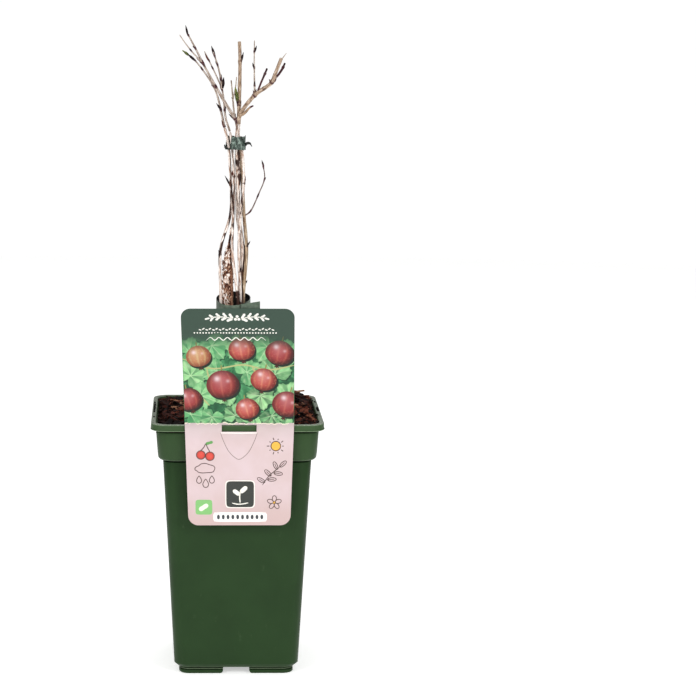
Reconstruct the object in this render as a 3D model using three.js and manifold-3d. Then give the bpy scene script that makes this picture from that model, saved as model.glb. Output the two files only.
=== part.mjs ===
// A young gooseberry bush in its square nursery pot, in early spring before the leaves.
// Millimetres, +Z up. The origin is at the middle of the pot's underside, and the front is -Y.
import * as THREE from 'three';
import { mergeVertices } from 'three/addons/utils/BufferGeometryUtils.js';
import Module from 'manifold-3d';

const wasm = await Module();
wasm.setup();

// ---------------------------------------------------------------- driving dimensions

const CLEARANCE = 0.3; // every piece stands this far from its neighbour

// Pot: half widths and heights of its outer wall.
const POT_HEIGHT = 197.6;
const RIM_HALF = 65;
const CORNER_RATIO = 0.178; // corner radius over half width
const WALL = 1.5;
const LIP_DEPTH = 4.6;
const COLLAR_TOP_HALF = 61;
const COLLAR_FOOT_HALF = 59.8;
const COLLAR_FOOT = 174.5;
const STEP = 169.5; // where the collar's rounded step meets the body
const BODY_TOP_HALF = 55.8;
const BODY_FOOT_HALF = 47.4;
const BODY_FOOT = 8.4;
const FOOT_HEIGHT = 5;
const FOOT_HALF = 43.7;
const FOOT_WIDTH = 6;
const NOTCH_WIDTH = 20; // gap between two feet on each side
const DRAIN_RADIUS = 4.5;
const DRAIN_PITCH = 24;

// Compost.
const SOIL = 189; // the level round the foot of the bush
const SEAT = 20; // half width of the level ground there
const HEAP = { around: 5, right: 2, back: 2 }; // rise from the level ground towards the walls
const CREST = { x: 42, y: 36, spread: 24, height: 5 };
const BRIM = POT_HEIGHT - 1.3; // the most that the compost reaches at the wall
const LUMP = 1.1;

// Bundle of stems: the heights where the table of stems gives each one's place.
const FOOT = SOIL + CLEARANCE;
const LOOP = 281;
const BULGE = 321;
const WAIST = 349;
const UPPER = 373;
const TIE = 401;
const FORK = 418;

// Tie of nursery tape.
const TIE_HALF_X = 7.9;
const TIE_HALF_Y = 7;
const TIE_CENTRE_X = -1.7;
const TIE_THICKNESS = 0.5;
const TIE_TALL = 11.2;
const TIE_NARROW = 2.4;

// Label: a printed card hooked on the pot's lip, and the loop that holds it to the stems.
const CARD = 0.8;
const LABEL_TOP_WIDTH = 85.5;
const LABEL_FOOT_WIDTH = 76.2;
const LABEL_CORNER = 7.5;
const LABEL_CENTRE = 1;
const LABEL_FOOT = 121;
const LABEL_TOP = 278.4;
const LABEL_TOP_Y = -14.5;
const LABEL_FOOT_Y = -62.4;
const LABEL_LIP_Y = -RIM_HALF - CLEARANCE - CARD / 2 - 0.15; // the card's bend stays off the lip
const SLOT = { left: -13, right: 12.4, low: 192.8, high: 198.1 };
const LOOP_RADIUS = 13.3;
const LOOP_CENTRE_X = -2.6;
const LOOP_TALL = 12;
const LOOP_DROP = 4.6; // the loop hangs lower at the front than at the back
const LOOP_BACK = 290;
const LOOP_TAIL = 20; // the loop's loose end, which passes in front to the right

// Plant growth.
const BUD_SIDES = 5;
const GOLDEN_TURN = 137.5;

// ---------------------------------------------------------------- materials

const plastic = (color, roughness) => new THREE.MeshStandardMaterial({ color, roughness });
const POT_GREEN = plastic(0x344a2e, 0.42);
const TAPE_GREEN = plastic(0x55706a, 0.5);
const CARD_FINISH = plastic(0xe9d3ce, 0.4);
const LOOP_FINISH = plastic(0x5d7868, 0.45);
const COMPOST_BROWN = plastic(0x2d1c16, 0.95);
const OLD_BARK = plastic(0x7d5a44, 0.9);
const YOUNG_BARK = plastic(0xd8c2b2, 0.75);
const TWIG_BARK = plastic(0xb9a08c, 0.75);

const bush = new THREE.Group();

function place(name, geometry, material) {
  const mesh = new THREE.Mesh(geometry, material);
  mesh.name = name;
  bush.add(mesh);
}

// ---------------------------------------------------------------- solids

const at = (x, y, z) => new THREE.Vector3(x, y, z);
const smooth = (low, high, value) => THREE.MathUtils.smoothstep(value, low, high);

// Repeatable random numbers between 0 and 1.
function seeded(seed) {
  let state = seed;
  return () => {
    state = (state + 0x6d2b79f5) | 0;
    let mixed = Math.imul(state ^ (state >>> 15), 1 | state);
    mixed = (mixed + Math.imul(mixed ^ (mixed >>> 7), 61 | mixed)) ^ mixed;
    return ((mixed ^ (mixed >>> 14)) >>> 0) / 4294967296;
  };
}

function welded(geometry) {
  const bare = geometry.clone();
  bare.deleteAttribute('normal');
  bare.deleteAttribute('uv');
  return mergeVertices(bare, 1e-4);
}

function solid(geometry) {
  const mesh = welded(geometry);
  return new wasm.Manifold(new wasm.Mesh({
    numProp: 3,
    vertProperties: new Float32Array(mesh.attributes.position.array),
    triVerts: new Uint32Array(mesh.index.array),
  }));
}

function surface(body) {
  const mesh = body.getMesh();
  const geometry = new THREE.BufferGeometry();
  geometry.setAttribute('position', new THREE.BufferAttribute(mesh.vertProperties, 3));
  geometry.setIndex(new THREE.BufferAttribute(mesh.triVerts, 1));
  geometry.computeVertexNormals();
  return geometry;
}

const joined = (bodies) => bodies.reduce((whole, body) => whole.add(body));

// The largest piece of a cut body: loose scraps are dropped.
function largest(body) {
  const pieces = body.decompose();
  return pieces.reduce((best, piece) => (piece.volume() > best.volume() ? piece : best));
}

function eachVertex(geometry, move) {
  const position = geometry.attributes.position;
  const point = new THREE.Vector3();
  for (let i = 0; i < position.count; i += 1) {
    point.fromBufferAttribute(position, i);
    move(point);
    position.setXYZ(i, point.x, point.y, point.z);
  }
  return geometry;
}

// A point of a square of half width 1 with rounded corners, a fraction of the way round.
function squareOutline(fraction, arcSteps, sideSteps) {
  const perCorner = arcSteps + sideSteps;
  const index = Math.round(fraction * 4 * perCorner) % (4 * perCorner);
  const corner = Math.floor(index / perCorner);
  const step = index % perCorner;
  const straight = 1 - CORNER_RATIO;
  const turn = (Math.PI / 2) * Math.min(step / arcSteps, 1);
  const point = new THREE.Vector2(
    straight + CORNER_RATIO * Math.cos(turn),
    straight + CORNER_RATIO * Math.sin(turn),
  );
  if (step > arcSteps) {
    point.x -= (2 * straight * (step - arcSteps)) / sideSteps;
  }
  return point.rotateAround(new THREE.Vector2(), (corner * Math.PI) / 2);
}

// A lathe turned round +Z whose circles become rounded squares of the same half width.
function squareLathe(profile, arcSteps, sideSteps) {
  const columns = 4 * (arcSteps + sideSteps);
  const points = profile.map(([half, height]) => new THREE.Vector2(half, height));
  const geometry = new THREE.LatheGeometry(points, columns).rotateX(Math.PI / 2);
  return eachVertex(geometry, (point) => {
    const half = Math.hypot(point.x, point.y);
    const angle = Math.atan2(point.y, point.x) / (2 * Math.PI);
    const outline = squareOutline((angle + 1) % 1, arcSteps, sideSteps);
    point.x = half * outline.x;
    point.y = half * outline.y;
  });
}

// ---------------------------------------------------------------- pot and compost

// The inside of the wall, from the floor up to the rim.
const INSIDE = [
  [BODY_FOOT_HALF - WALL - 1.6, FOOT_HEIGHT + 2],
  [BODY_FOOT_HALF - WALL, BODY_FOOT + 0.8],
  [BODY_TOP_HALF - WALL, STEP + 0.6],
  [COLLAR_FOOT_HALF - WALL - 0.9, STEP + 2.6],
  [COLLAR_FOOT_HALF - WALL, COLLAR_FOOT + 0.6],
  [COLLAR_TOP_HALF - WALL, POT_HEIGHT - LIP_DEPTH],
];

function potGeometry() {
  const outside = [
    [0, FOOT_HEIGHT],
    [FOOT_HALF - FOOT_WIDTH, FOOT_HEIGHT],
    [FOOT_HALF - FOOT_WIDTH, 0],
    [FOOT_HALF - 1.4, 0],
    [FOOT_HALF, 1.8],
    [FOOT_HALF, FOOT_HEIGHT],
    [FOOT_HALF + 0.8, FOOT_HEIGHT + 0.4],
    [BODY_FOOT_HALF, BODY_FOOT],
    [BODY_TOP_HALF, STEP],
    [COLLAR_FOOT_HALF - 1.7, STEP + 0.8],
    [COLLAR_FOOT_HALF - 0.5, STEP + 2.4],
    [COLLAR_FOOT_HALF, COLLAR_FOOT],
    [COLLAR_TOP_HALF, POT_HEIGHT - LIP_DEPTH],
    [RIM_HALF - 0.7, POT_HEIGHT - LIP_DEPTH],
    [RIM_HALF, POT_HEIGHT - LIP_DEPTH + 0.8],
    [RIM_HALF, POT_HEIGHT - 0.9],
    [RIM_HALF - 0.8, POT_HEIGHT],
    [COLLAR_TOP_HALF + 0.8, POT_HEIGHT],
    [COLLAR_TOP_HALF + 0.1, POT_HEIGHT - 0.8],
  ];
  const inside = [...INSIDE].reverse();
  const profile = [...outside, ...inside, [0, FOOT_HEIGHT + 2]];
  let pot = solid(squareLathe(profile, 5, 1));
  for (const side of [0, 1]) {
    const notch = new THREE.BoxGeometry(NOTCH_WIDTH, 3 * RIM_HALF, FOOT_HEIGHT);
    notch.rotateZ((side * Math.PI) / 2).translate(0, 0, FOOT_HEIGHT / 2 - 0.02);
    pot = pot.subtract(solid(notch));
  }
  for (const column of [-1, 0, 1]) {
    for (const row of [-1, 0, 1]) {
      const drain = new THREE.CylinderGeometry(DRAIN_RADIUS, DRAIN_RADIUS, 8, 12);
      drain.rotateX(Math.PI / 2).translate(column * DRAIN_PITCH, row * DRAIN_PITCH, FOOT_HEIGHT + 1);
      pot = pot.subtract(solid(drain));
    }
  }
  return surface(pot);
}

// Height of the compost's surface: level round the bush, heaped to the walls, most at the right and the back.
function compostHeight(x, y, random) {
  const rise = (distance) => smooth(SEAT, 46, distance);
  const heap = HEAP.around * rise(Math.hypot(x, y)) + HEAP.right * rise(x) + HEAP.back * rise(y);
  const crest = CREST.height * Math.exp(-((x - CREST.x) ** 2 + (y - CREST.y) ** 2) / CREST.spread ** 2);
  const lump = LUMP * (random() - 0.5) * 2;
  return SOIL + heap + crest + lump;
}

function compostGeometry() {
  const random = seeded(11);
  const wall = INSIDE.map(([half, height]) => [half - CLEARANCE - 0.1, height + CLEARANCE]);
  wall[wall.length - 1] = [COLLAR_TOP_HALF - WALL - CLEARANCE - 0.5, SOIL - 2];
  const rings = [58.2, 52, 45, 38, 31, 25, SEAT].map((half) => [half, SOIL]);
  const profile = [[0, wall[0][1]], ...wall, ...rings, [0, SOIL]];
  const geometry = squareLathe(profile, 5, 5);
  const heights = new Map();
  return eachVertex(geometry, (point) => {
    const half = Math.max(Math.abs(point.x), Math.abs(point.y));
    if (point.z < SOIL - 0.001 || half < SEAT + 0.5) {
      return;
    }
    const key = `${point.x.toFixed(2)},${point.y.toFixed(2)}`;
    if (!heights.has(key)) {
      heights.set(key, compostHeight(point.x, point.y, random));
    }
    const edge = smooth(50, 59, half);
    const low = Math.min(heights.get(key), BRIM);
    point.z = THREE.MathUtils.lerp(heights.get(key), low, edge);
  });
}

// ---------------------------------------------------------------- limbs

// A curve through a few [x, y, z] points.
function through(...points) {
  return new THREE.CatmullRomCurve3(points.map((point) => at(...point)), false, 'centripetal');
}

// A round limb along part of a curve: radius(t) is its radius from one end to the other.
function limb(curve, { from = 0, to = 1, radius, sides = 7, steps = 12, grow = 0 }) {
  const geometry = new THREE.CylinderGeometry(1, 1, 1, sides, steps);
  const rings = [];
  let side = at(1, 0, 0);
  for (let step = 0; step <= steps; step += 1) {
    const t = step / steps;
    const u = from + (to - from) * t;
    const tangent = curve.getTangentAt(u);
    side = side.clone().addScaledVector(tangent, -side.dot(tangent)).normalize();
    const atEnd = step === 0 || step === steps;
    const centre = curve.getPointAt(u).addScaledVector(tangent, atEnd ? grow * Math.sign(t - 0.5) : 0);
    rings.push({ centre, side, across: side.clone().cross(tangent), radius: radius(t) + grow });
  }
  return eachVertex(geometry, (point) => {
    const ring = rings[Math.round((point.y + 0.5) * steps)];
    const { x, z } = point;
    point.copy(ring.centre);
    point.addScaledVector(ring.side, x * ring.radius).addScaledVector(ring.across, z * ring.radius);
  });
}

const taper = (low, high) => (t) => low + (high - low) * t;

// A slim pointed bud from a point on a twig, in a direction.
function bud(foot, direction, length, thickness) {
  const profile = [[0, -0.12], [0.32, 0], [0.5, 0.38], [0.3, 0.75], [0, 1]];
  const points = profile.map(([wide, high]) => new THREE.Vector2(wide * thickness, high * length));
  const geometry = new THREE.LatheGeometry(points, BUD_SIDES);
  geometry.applyQuaternion(new THREE.Quaternion().setFromUnitVectors(at(0, 1, 0), direction));
  return geometry.translate(foot.x, foot.y, foot.z);
}

// Which way a side growth leaves a twig: turn 0 is to the right, 90 to the back.
function sideways(tangent, turn, lean) {
  const angle = THREE.MathUtils.degToRad(turn);
  const out = at(Math.cos(angle), Math.sin(angle), 0);
  out.addScaledVector(tangent, -out.dot(tangent)).normalize();
  const tilt = THREE.MathUtils.degToRad(lean);
  return out.multiplyScalar(Math.sin(tilt)).addScaledVector(tangent, Math.cos(tilt)).normalize();
}

// ---------------------------------------------------------------- trunk and stems

// Each stem's [x, y] at the foot, loop, bulge, waist, upper and tie heights of the bundle.
const STATIONS = [FOOT, LOOP, BULGE, WAIST, UPPER, TIE];
const STEMS = {
  stem_left: {
    places: [[-15.4, -2], [-12.2, -2.1], [-12.4, -0.8], [-4.9, 1.5], [-5.6, 0.9], [-6.8, 0.3]],
    radius: [1.6, 1.25],
    onward: [[-9.6, 2, 414]],
  },
  stem_middle: {
    places: [[1.5, -8.2], [0.9, -4.5], [-3.5, -3.1], [-3.1, -2.2], [-2.8, -1.7], [-4.2, -2.1]],
    radius: [1.6, 1.15],
    onward: [[-5.6, -0.8, 411]],
  },
  stem_main: {
    places: [[5.2, 5.6], [4.2, 2.4], [4.2, 1.1], [2.3, 1.6], [0.6, 1.2], [-0.2, 0.2]],
    radius: [2.1, 2],
    onward: [[0.5, 0, FORK]],
  },
  stem_crossing: {
    places: [[7.4, -4.8], [3, -1.6], [0.9, -1.6], [1.9, -2.5], [5, -1.1], [3.5, -0.8]],
    radius: [1.6, 1.25],
    onward: [[3.2, -0.6, 406]],
  },
  stem_right: {
    places: [[12.4, 1.6], [7, -0.5], [8, 0.2], [5.9, 0.3], [4, 3.6], [1.9, 4.4]],
    radius: [1.6, 1.1],
    onward: [[0.4, 4.7, 410]],
  },
};

const stemCurve = ({ places, onward }) => through(
  ...places.map(([x, y], index) => [x, y, STATIONS[index]]),
  ...onward,
);

// The old wood: flared where it leaves the ground, thick to the bulge, then a thin dead tip.
const TRUNK = {
  curve: through(
    [-5.4, 0.4, FOOT],
    [-5.8, 0, 235],
    [-6.6, 0, LOOP],
    [-6.5, 0.4, 312],
    [-5.7, 1.2, 326],
    [-2.6, 3.9, 346],
  ),
  foot: 4.9,
  shoulder: 4,
  tip: 0.9,
  flare: 2.6,
};

function trunkRadius(t) {
  const flare = TRUNK.flare * Math.exp(-t / 0.045);
  const thick = THREE.MathUtils.lerp(TRUNK.foot, TRUNK.shoulder, Math.min(t / 0.75, 1));
  const thin = THREE.MathUtils.lerp(1.5, TRUNK.tip, t);
  return THREE.MathUtils.lerp(thick, thin, smooth(0.77, 0.88, t)) + flare;
}

const trunkLimb = (grow) => limb(TRUNK.curve, { radius: trunkRadius, sides: 10, steps: 26, grow });

function stemLimb(stem, grow = 0) {
  return limb(stemCurve(stem), { radius: taper(...stem.radius), sides: 7, steps: 24, grow });
}

// ---------------------------------------------------------------- boughs and twigs

// The leaders of the crown. A bough is a leader's lower part, up to the share where its mass begins.
const LEADERS = {
  left: {
    curve: through(
      [0.2, 0, 417.5],
      [-9.3, -4.5, 432.5],
      [-23.5, -10.5, 457.1],
      [-33.1, -14, 475.6],
      [-37.7, -15.5, 483.9],
    ),
    radius: [1.55, 0.65],
    enters: 0.24,
  },
  upright: {
    curve: through([0.9, 0.4, 419.5], [1.7, 5, 446], [2, 10, 464.5], [1.6, 14, 478.1]),
    radius: [1.45, 1.3],
    enters: 0.25,
  },
  right: {
    curve: through(
      [0.6, -0.2, 417],
      [1.8, -1.2, 423.5],
      [12.9, -7.5, 438.7],
      [24.9, -12.5, 447.9],
      [27.8, -14, 454.8],
      [32.2, -16, 466.1],
    ),
    radius: [1.85, 1.5],
    enters: 0.36,
  },
};

const boughLimb = ({ curve, radius, enters }, grow = 0) => {
  const high = THREE.MathUtils.lerp(radius[0], radius[1], enters);
  return limb(curve, { to: enters, radius: taper(radius[0], high), sides: 8, steps: 6, grow });
};

// A mass of twigs. Its stem carries shoots, and every one of them carries buds: those that are named,
// and more by a seeded rule, at even spacing and a golden turn apart. A bud outside the mass's
// reach, or one that would touch a limb, is skipped.
const SPACING = 13;

function budsAlong(twig, random, reach, limbs) {
  const length = twig.curve.getLength() * (twig.to - twig.from);
  const named = twig.buds ?? [];
  const count = Math.floor(length / SPACING);
  const ruled = [];
  let turn = 360 * random();
  for (let index = 1; index < count; index += 1) {
    turn += GOLDEN_TURN;
    const share = (index + 0.5 * (random() - 0.5)) / count;
    const nearNamed = named.some((other) => Math.abs(other.share - share) * length < 6);
    if (!nearNamed) {
      ruled.push({ share, turn, length: 2.6 + 1.6 * random(), lean: 24 });
    }
  }
  return [...named, ...ruled].flatMap(({ share, turn: around, length: long = 4.5, lean = 24 }) => {
    const u = twig.from + (twig.to - twig.from) * share;
    const tangent = twig.curve.getTangentAt(u);
    const thick = THREE.MathUtils.lerp(twig.radius[0], twig.radius[1], share);
    const direction = sideways(tangent, around, lean);
    const foot = twig.curve.getPointAt(u).addScaledVector(sideways(tangent, around, 90), thick * 0.7);
    const tip = foot.clone().addScaledVector(direction, long);
    const clear = limbs.every((other) => distanceTo(other, tip) > CLEARANCE + 0.6);
    return reach.containsPoint(tip) && clear ? [bud(foot, direction, long, 1.7)] : [];
  });
}

// How far a point is from a limb's bark.
function distanceTo({ curve, radius }, point) {
  let nearest = Infinity;
  for (let step = 0; step <= 40; step += 1) {
    const t = step / 40;
    const gap = curve.getPoint(t).distanceTo(point) - Math.max(...radius);
    nearest = Math.min(nearest, gap);
  }
  return nearest;
}

// A shoot from a share of another twig's length: it leaves along its elbow and ends at its tip.
function shootFrom(parent, { share, elbow, tip, radius, buds }) {
  const root = parent.curve.getPointAt(parent.from + (parent.to - parent.from) * share);
  const curve = new THREE.QuadraticBezierCurve3(root, at(...elbow), at(...tip));
  return { curve, from: 0, to: 1, radius, buds, steps: 7 };
}

const twigLimb = ({ curve, from, to, radius, steps = 10 }) => (
  limb(curve, { from, to, radius: taper(...radius), sides: 6, steps })
);

function twigMass({ stem, shoots = [], seed, tipBud = 6, clearOf, avoid = [] }) {
  const random = seeded(seed);
  const twigs = [stem];
  for (const shoot of shoots) {
    twigs.push(shootFrom(stem, shoot));
  }
  const reach = new THREE.Box3();
  for (const { curve } of twigs) {
    curve.getPoints(20).forEach((point) => reach.expandByPoint(point));
  }
  reach.expandByScalar(3);
  const bodies = [];
  for (const [index, twig] of twigs.entries()) {
    bodies.push(solid(twigLimb(twig)));
    const tangent = twig.curve.getTangentAt(twig.to);
    const end = twig.curve.getPointAt(twig.to);
    const long = index === 0 ? tipBud : shoots[index - 1].tipBud ?? 5;
    if (long > 0) {
      bodies.push(solid(bud(end.addScaledVector(tangent, -0.6), tangent, long, 1.8)));
    }
    budsAlong(twig, random, reach, avoid).forEach((geometry) => bodies.push(solid(geometry)));
  }
  const whole = clearOf.reduce((body, neighbour) => body.subtract(solid(neighbour)), joined(bodies));
  return surface(largest(whole));
}

// The part of a leader above its bough, which is the stem of a mass.
function aboveBough({ curve, radius, enters }, buds) {
  const from = enters + CLEARANCE / curve.getLength();
  const thick = THREE.MathUtils.lerp(radius[0], radius[1], enters);
  return { curve, from, to: 1, radius: [thick, radius[1]], buds };
}

// ---------------------------------------------------------------- tie, label and its loop

// A band round the stems: half widths, and its top and bottom height at each turn.
function band(centreX, halfX, halfY, thickness, lowAt, highAt) {
  const profile = [[1, 0], [1, 1], [0, 1], [0, 0], [1, 0]];
  const points = profile.map(([wide, high]) => new THREE.Vector2(100 + wide, high));
  const geometry = new THREE.LatheGeometry(points, 28).rotateX(Math.PI / 2);
  return eachVertex(geometry, (point) => {
    const angle = Math.atan2(point.y, point.x);
    const outer = Math.hypot(point.x, point.y) > 100.5 ? thickness : 0;
    const low = lowAt(angle);
    point.z = low + (highAt(angle) - low) * point.z;
    point.x = centreX + (halfX + outer) * Math.cos(angle);
    point.y = (halfY + outer) * Math.sin(angle);
  });
}

// The tape is wide at the front and right, and twisted narrow where it passes the left-hand stems.
function tieGeometry() {
  const narrowing = (angle) => smooth(0.3, 0.75, Math.cos(angle + Math.PI * 0.83));
  const low = () => TIE - 3.9;
  const high = (angle) => TIE - 3.9 + THREE.MathUtils.lerp(TIE_TALL, TIE_NARROW, narrowing(angle));
  return band(TIE_CENTRE_X, TIE_HALF_X, TIE_HALF_Y, TIE_THICKNESS, low, high);
}

function loopGeometry() {
  const high = (angle) => LOOP_BACK - LOOP_DROP * (1 - Math.sin(angle)) + 1.2 * Math.cos(angle);
  const low = (angle) => high(angle) - LOOP_TALL;
  const ring = solid(band(LOOP_CENTRE_X, LOOP_RADIUS - CARD, LOOP_RADIUS - CARD, CARD, low, high));
  const tail = new THREE.BoxGeometry(LOOP_TAIL, CARD, 6);
  tail.translate(LOOP_CENTRE_X + LOOP_TAIL / 2, -LOOP_RADIUS + CARD / 2, 280.2);
  return surface(ring.add(solid(tail)));
}

// The label's side view, from its lower edge over the lip to its upper edge at the stems.
const LABEL_SIDE = through(
  [0, LABEL_FOOT_Y, LABEL_FOOT],
  [0, -64.4, 165],
  [0, LABEL_LIP_Y, 190],
  [0, LABEL_LIP_Y - 0.2, POT_HEIGHT],
  [0, -61.9, 205.5],
  [0, -38.8, 241],
  [0, LABEL_TOP_Y, LABEL_TOP],
);

// Half the label's width at a distance along it, drawn in at its rounded corners.
function labelHalf(distance, length) {
  const toEnd = Math.min(distance, length - distance);
  const half = THREE.MathUtils.lerp(LABEL_FOOT_WIDTH, LABEL_TOP_WIDTH, distance / length) / 2;
  if (toEnd >= LABEL_CORNER) {
    return half;
  }
  return half - LABEL_CORNER + Math.sqrt(LABEL_CORNER ** 2 - (LABEL_CORNER - toEnd) ** 2);
}

function labelGeometry() {
  const length = LABEL_SIDE.getLength();
  const cornerRows = [0, 0.04, 0.15, 0.35, 0.65, 1].map((share) => share * LABEL_CORNER);
  const between = length - 2 * LABEL_CORNER;
  const middleRows = Array.from({ length: 19 }, (_, row) => LABEL_CORNER + ((row + 1) / 20) * between);
  const rows = [...cornerRows, ...middleRows, ...cornerRows.map((row) => length - row).reverse()];
  const card = new THREE.BoxGeometry(1, 1, 1, 2, 1, rows.length - 1);
  eachVertex(card, (point) => {
    const distance = rows[Math.round((point.z + 0.5) * (rows.length - 1))];
    const along = LABEL_SIDE.getPointAt(distance / length);
    const tangent = LABEL_SIDE.getTangentAt(distance / length);
    const depth = point.y * CARD;
    point.x = LABEL_CENTRE + 2 * point.x * labelHalf(distance, length);
    point.y = along.y + depth * tangent.z;
    point.z = along.z - depth * tangent.y;
  });
  const slot = new THREE.BoxGeometry(SLOT.right - SLOT.left, 12, SLOT.high - SLOT.low);
  slot.translate((SLOT.left + SLOT.right) / 2, -RIM_HALF, (SLOT.low + SLOT.high) / 2);
  return surface(solid(card).subtract(solid(slot)));
}

// ---------------------------------------------------------------- assembly

place('pot', potGeometry(), POT_GREEN);
place('compost', compostGeometry(), COMPOST_BROWN);
place('trunk', trunkLimb(0), OLD_BARK);
for (const [name, stem] of Object.entries(STEMS)) {
  place(name, stemLimb(stem), YOUNG_BARK);
}

const mainStem = stemLimb(STEMS.stem_main, CLEARANCE);
const rightBough = solid(boughLimb(LEADERS.right)).subtract(solid(mainStem));
const uprightBough = [mainStem, boughLimb(LEADERS.right, CLEARANCE)]
  .reduce((body, other) => body.subtract(solid(other)), solid(boughLimb(LEADERS.upright)));
const leftBough = [mainStem, boughLimb(LEADERS.right, CLEARANCE), boughLimb(LEADERS.upright, CLEARANCE)]
  .reduce((body, other) => body.subtract(solid(other)), solid(boughLimb(LEADERS.left)));
place('bough_right', surface(largest(rightBough)), TWIG_BARK);
place('bough_upright', surface(largest(uprightBough)), TWIG_BARK);
place('bough_left', surface(largest(leftBough)), TWIG_BARK);

const onward = (points, radius, buds) => ({ curve: through(...points), from: 0, to: 1, radius, buds });

const MASSES = {
  twigs_left_top: {
    seed: 21,
    stem: aboveBough(LEADERS.left, [
      { share: 0.6, turn: 190, length: 4.5, lean: 30 },
      { share: 0.28, turn: 20, length: 3 },
    ]),
    tipBud: 9,
    shoots: [
      { share: 0.6, elbow: [-34.6, -19, 469.5], tip: [-43.6, -25.9, 483], radius: [0.75, 0.45], tipBud: 0 },
    ],
    clearOf: [boughLimb(LEADERS.left, CLEARANCE)],
  },
  twigs_left_low: {
    seed: 5,
    stem: onward(
      [[-9.7, 2.06, 414.3], [-15.3, 9, 438.1], [-19.1, 12.5, 446.5], [-32, 21, 463.9], [-36.7, 23, 467.7]],
      [1.15, 0.6],
      [{ share: 0.03, turn: 180, length: 7, lean: 10 }, { share: 0.21, turn: 180, length: 5.5, lean: 30 }],
    ),
    tipBud: 6.5,
    clearOf: [stemLimb(STEMS.stem_left, CLEARANCE)],
  },
  twigs_middle: {
    seed: 8,
    stem: onward(
      [[-5.65, -0.75, 411.3], [-8.7, 0.8, 420.4], [-11.5, 6, 442.1], [-15.3, 9.5, 451.2], [-24.9, 18, 471]],
      [1.1, 0.5],
      [{ share: 0.9, turn: 170, length: 5, lean: 14 }],
    ),
    tipBud: 3.6,
    shoots: [
      {
        share: 0.5,
        elbow: [-12.2, 3.6, 454],
        tip: [-18.5, -7.8, 470.6],
        radius: [0.95, 0.7],
        tipBud: 5.5,
        buds: [
          { share: 0.12, turn: 10, length: 7, lean: 16 },
          { share: 0.3, turn: 350, length: 6, lean: 12 },
        ],
      },
    ],
    clearOf: [stemLimb(STEMS.stem_middle, CLEARANCE)],
  },
  twigs_upright: {
    seed: 3,
    stem: aboveBough(LEADERS.upright, [
      { share: 0.02, turn: 180, length: 8, lean: 14 },
      { share: 0.69, turn: 0, length: 6.5, lean: 18 },
    ]),
    tipBud: 0,
    clearOf: [boughLimb(LEADERS.upright, CLEARANCE)],
  },
  twigs_right: {
    seed: 14,
    stem: aboveBough(LEADERS.right, []),
    tipBud: 0,
    shoots: [
      {
        share: 0.1,
        elbow: [12.2, 0.5, 461],
        tip: [12.9, 10, 479.3],
        radius: [0.85, 0.5],
        tipBud: 3,
        buds: [
          { share: 0.5, turn: 180, length: 4.5, lean: 14 },
          { share: 0.8, turn: 0, length: 4.5, lean: 20 },
        ],
      },
      { share: 0.16, elbow: [17.8, -14, 450], tip: [20.5, -18.6, 455.8], radius: [0.7, 0.8], tipBud: 3.4 },
      { share: 0.55, elbow: [32, -6.5, 454.6], tip: [34.8, 1.4, 460.3], radius: [0.75, 0.8], tipBud: 3.4 },
      { share: 0.96, elbow: [33.6, -16.6, 466.6], tip: [36, -18, 470.2], radius: [0.5, 0.3], tipBud: 0 },
    ],
    clearOf: [boughLimb(LEADERS.right, CLEARANCE)],
  },
  twigs_back: {
    seed: 17,
    stem: onward(
      [[0.3, 4.75, 410.3], [-2.3, 12, 425.3], [-3.3, 22, 437.9], [-4.2, 33, 449]],
      [1.05, 0.6],
      [],
    ),
    tipBud: 5,
    shoots: [
      { share: 0.6, elbow: [-0.6, 25, 443], tip: [0, 32, 451.5], radius: [0.7, 0.5], tipBud: 5 },
    ],
    clearOf: [stemLimb(STEMS.stem_right, CLEARANCE)],
  },
  twigs_side: {
    seed: 30,
    stem: onward(
      [[5.9, 0.2, 347.3], [10.1, -3, 350.9], [16.5, -6, 365], [20.5, -9, 376.4], [18.9, -12.6, 388]],
      [0.6, 0.4],
      [],
    ),
    tipBud: 3.4,
    clearOf: [stemLimb(STEMS.stem_right, CLEARANCE)],
  },
};

const limbs = Object.values(STEMS).map((stem) => ({ curve: stemCurve(stem), radius: stem.radius }));
for (const [name, mass] of Object.entries(MASSES)) {
  place(name, twigMass({ ...mass, avoid: limbs }), TWIG_BARK);
}

place('tie', tieGeometry(), TAPE_GREEN);
place('label', labelGeometry(), CARD_FINISH);
place('label_loop', loopGeometry(), LOOP_FINISH);

export default bush;
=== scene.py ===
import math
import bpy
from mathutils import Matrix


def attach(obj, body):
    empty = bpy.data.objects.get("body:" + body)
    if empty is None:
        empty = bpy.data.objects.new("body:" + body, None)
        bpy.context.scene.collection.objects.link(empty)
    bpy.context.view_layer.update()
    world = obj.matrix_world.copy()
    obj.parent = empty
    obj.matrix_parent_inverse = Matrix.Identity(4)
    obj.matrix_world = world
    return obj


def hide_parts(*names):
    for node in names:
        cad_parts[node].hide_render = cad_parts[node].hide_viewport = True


bl_info = {
    "name": "Potted gooseberry bush",
    "version": (1, 0, 0),
    "blender": (4, 5, 0),
    "location": "3D View > Sidebar > Bush",
    "description": "A young leafless gooseberry bush in a square nursery pot, with its hang label",
    "category": "Object",
}

import bmesh
import bpy
import numpy as np
from mathutils import Matrix, Vector, noise

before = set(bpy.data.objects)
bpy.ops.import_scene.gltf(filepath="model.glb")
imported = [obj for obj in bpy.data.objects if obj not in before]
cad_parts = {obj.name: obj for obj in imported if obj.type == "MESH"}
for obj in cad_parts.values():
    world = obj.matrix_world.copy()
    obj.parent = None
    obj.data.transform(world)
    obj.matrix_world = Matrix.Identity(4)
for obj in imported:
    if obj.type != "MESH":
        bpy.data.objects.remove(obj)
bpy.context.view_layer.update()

# Every size below is in millimetres, in the frame's axes: +Z up, the front towards -Y.
MM = 0.001

# ------------------------------------------------------------------ sizes

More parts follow.
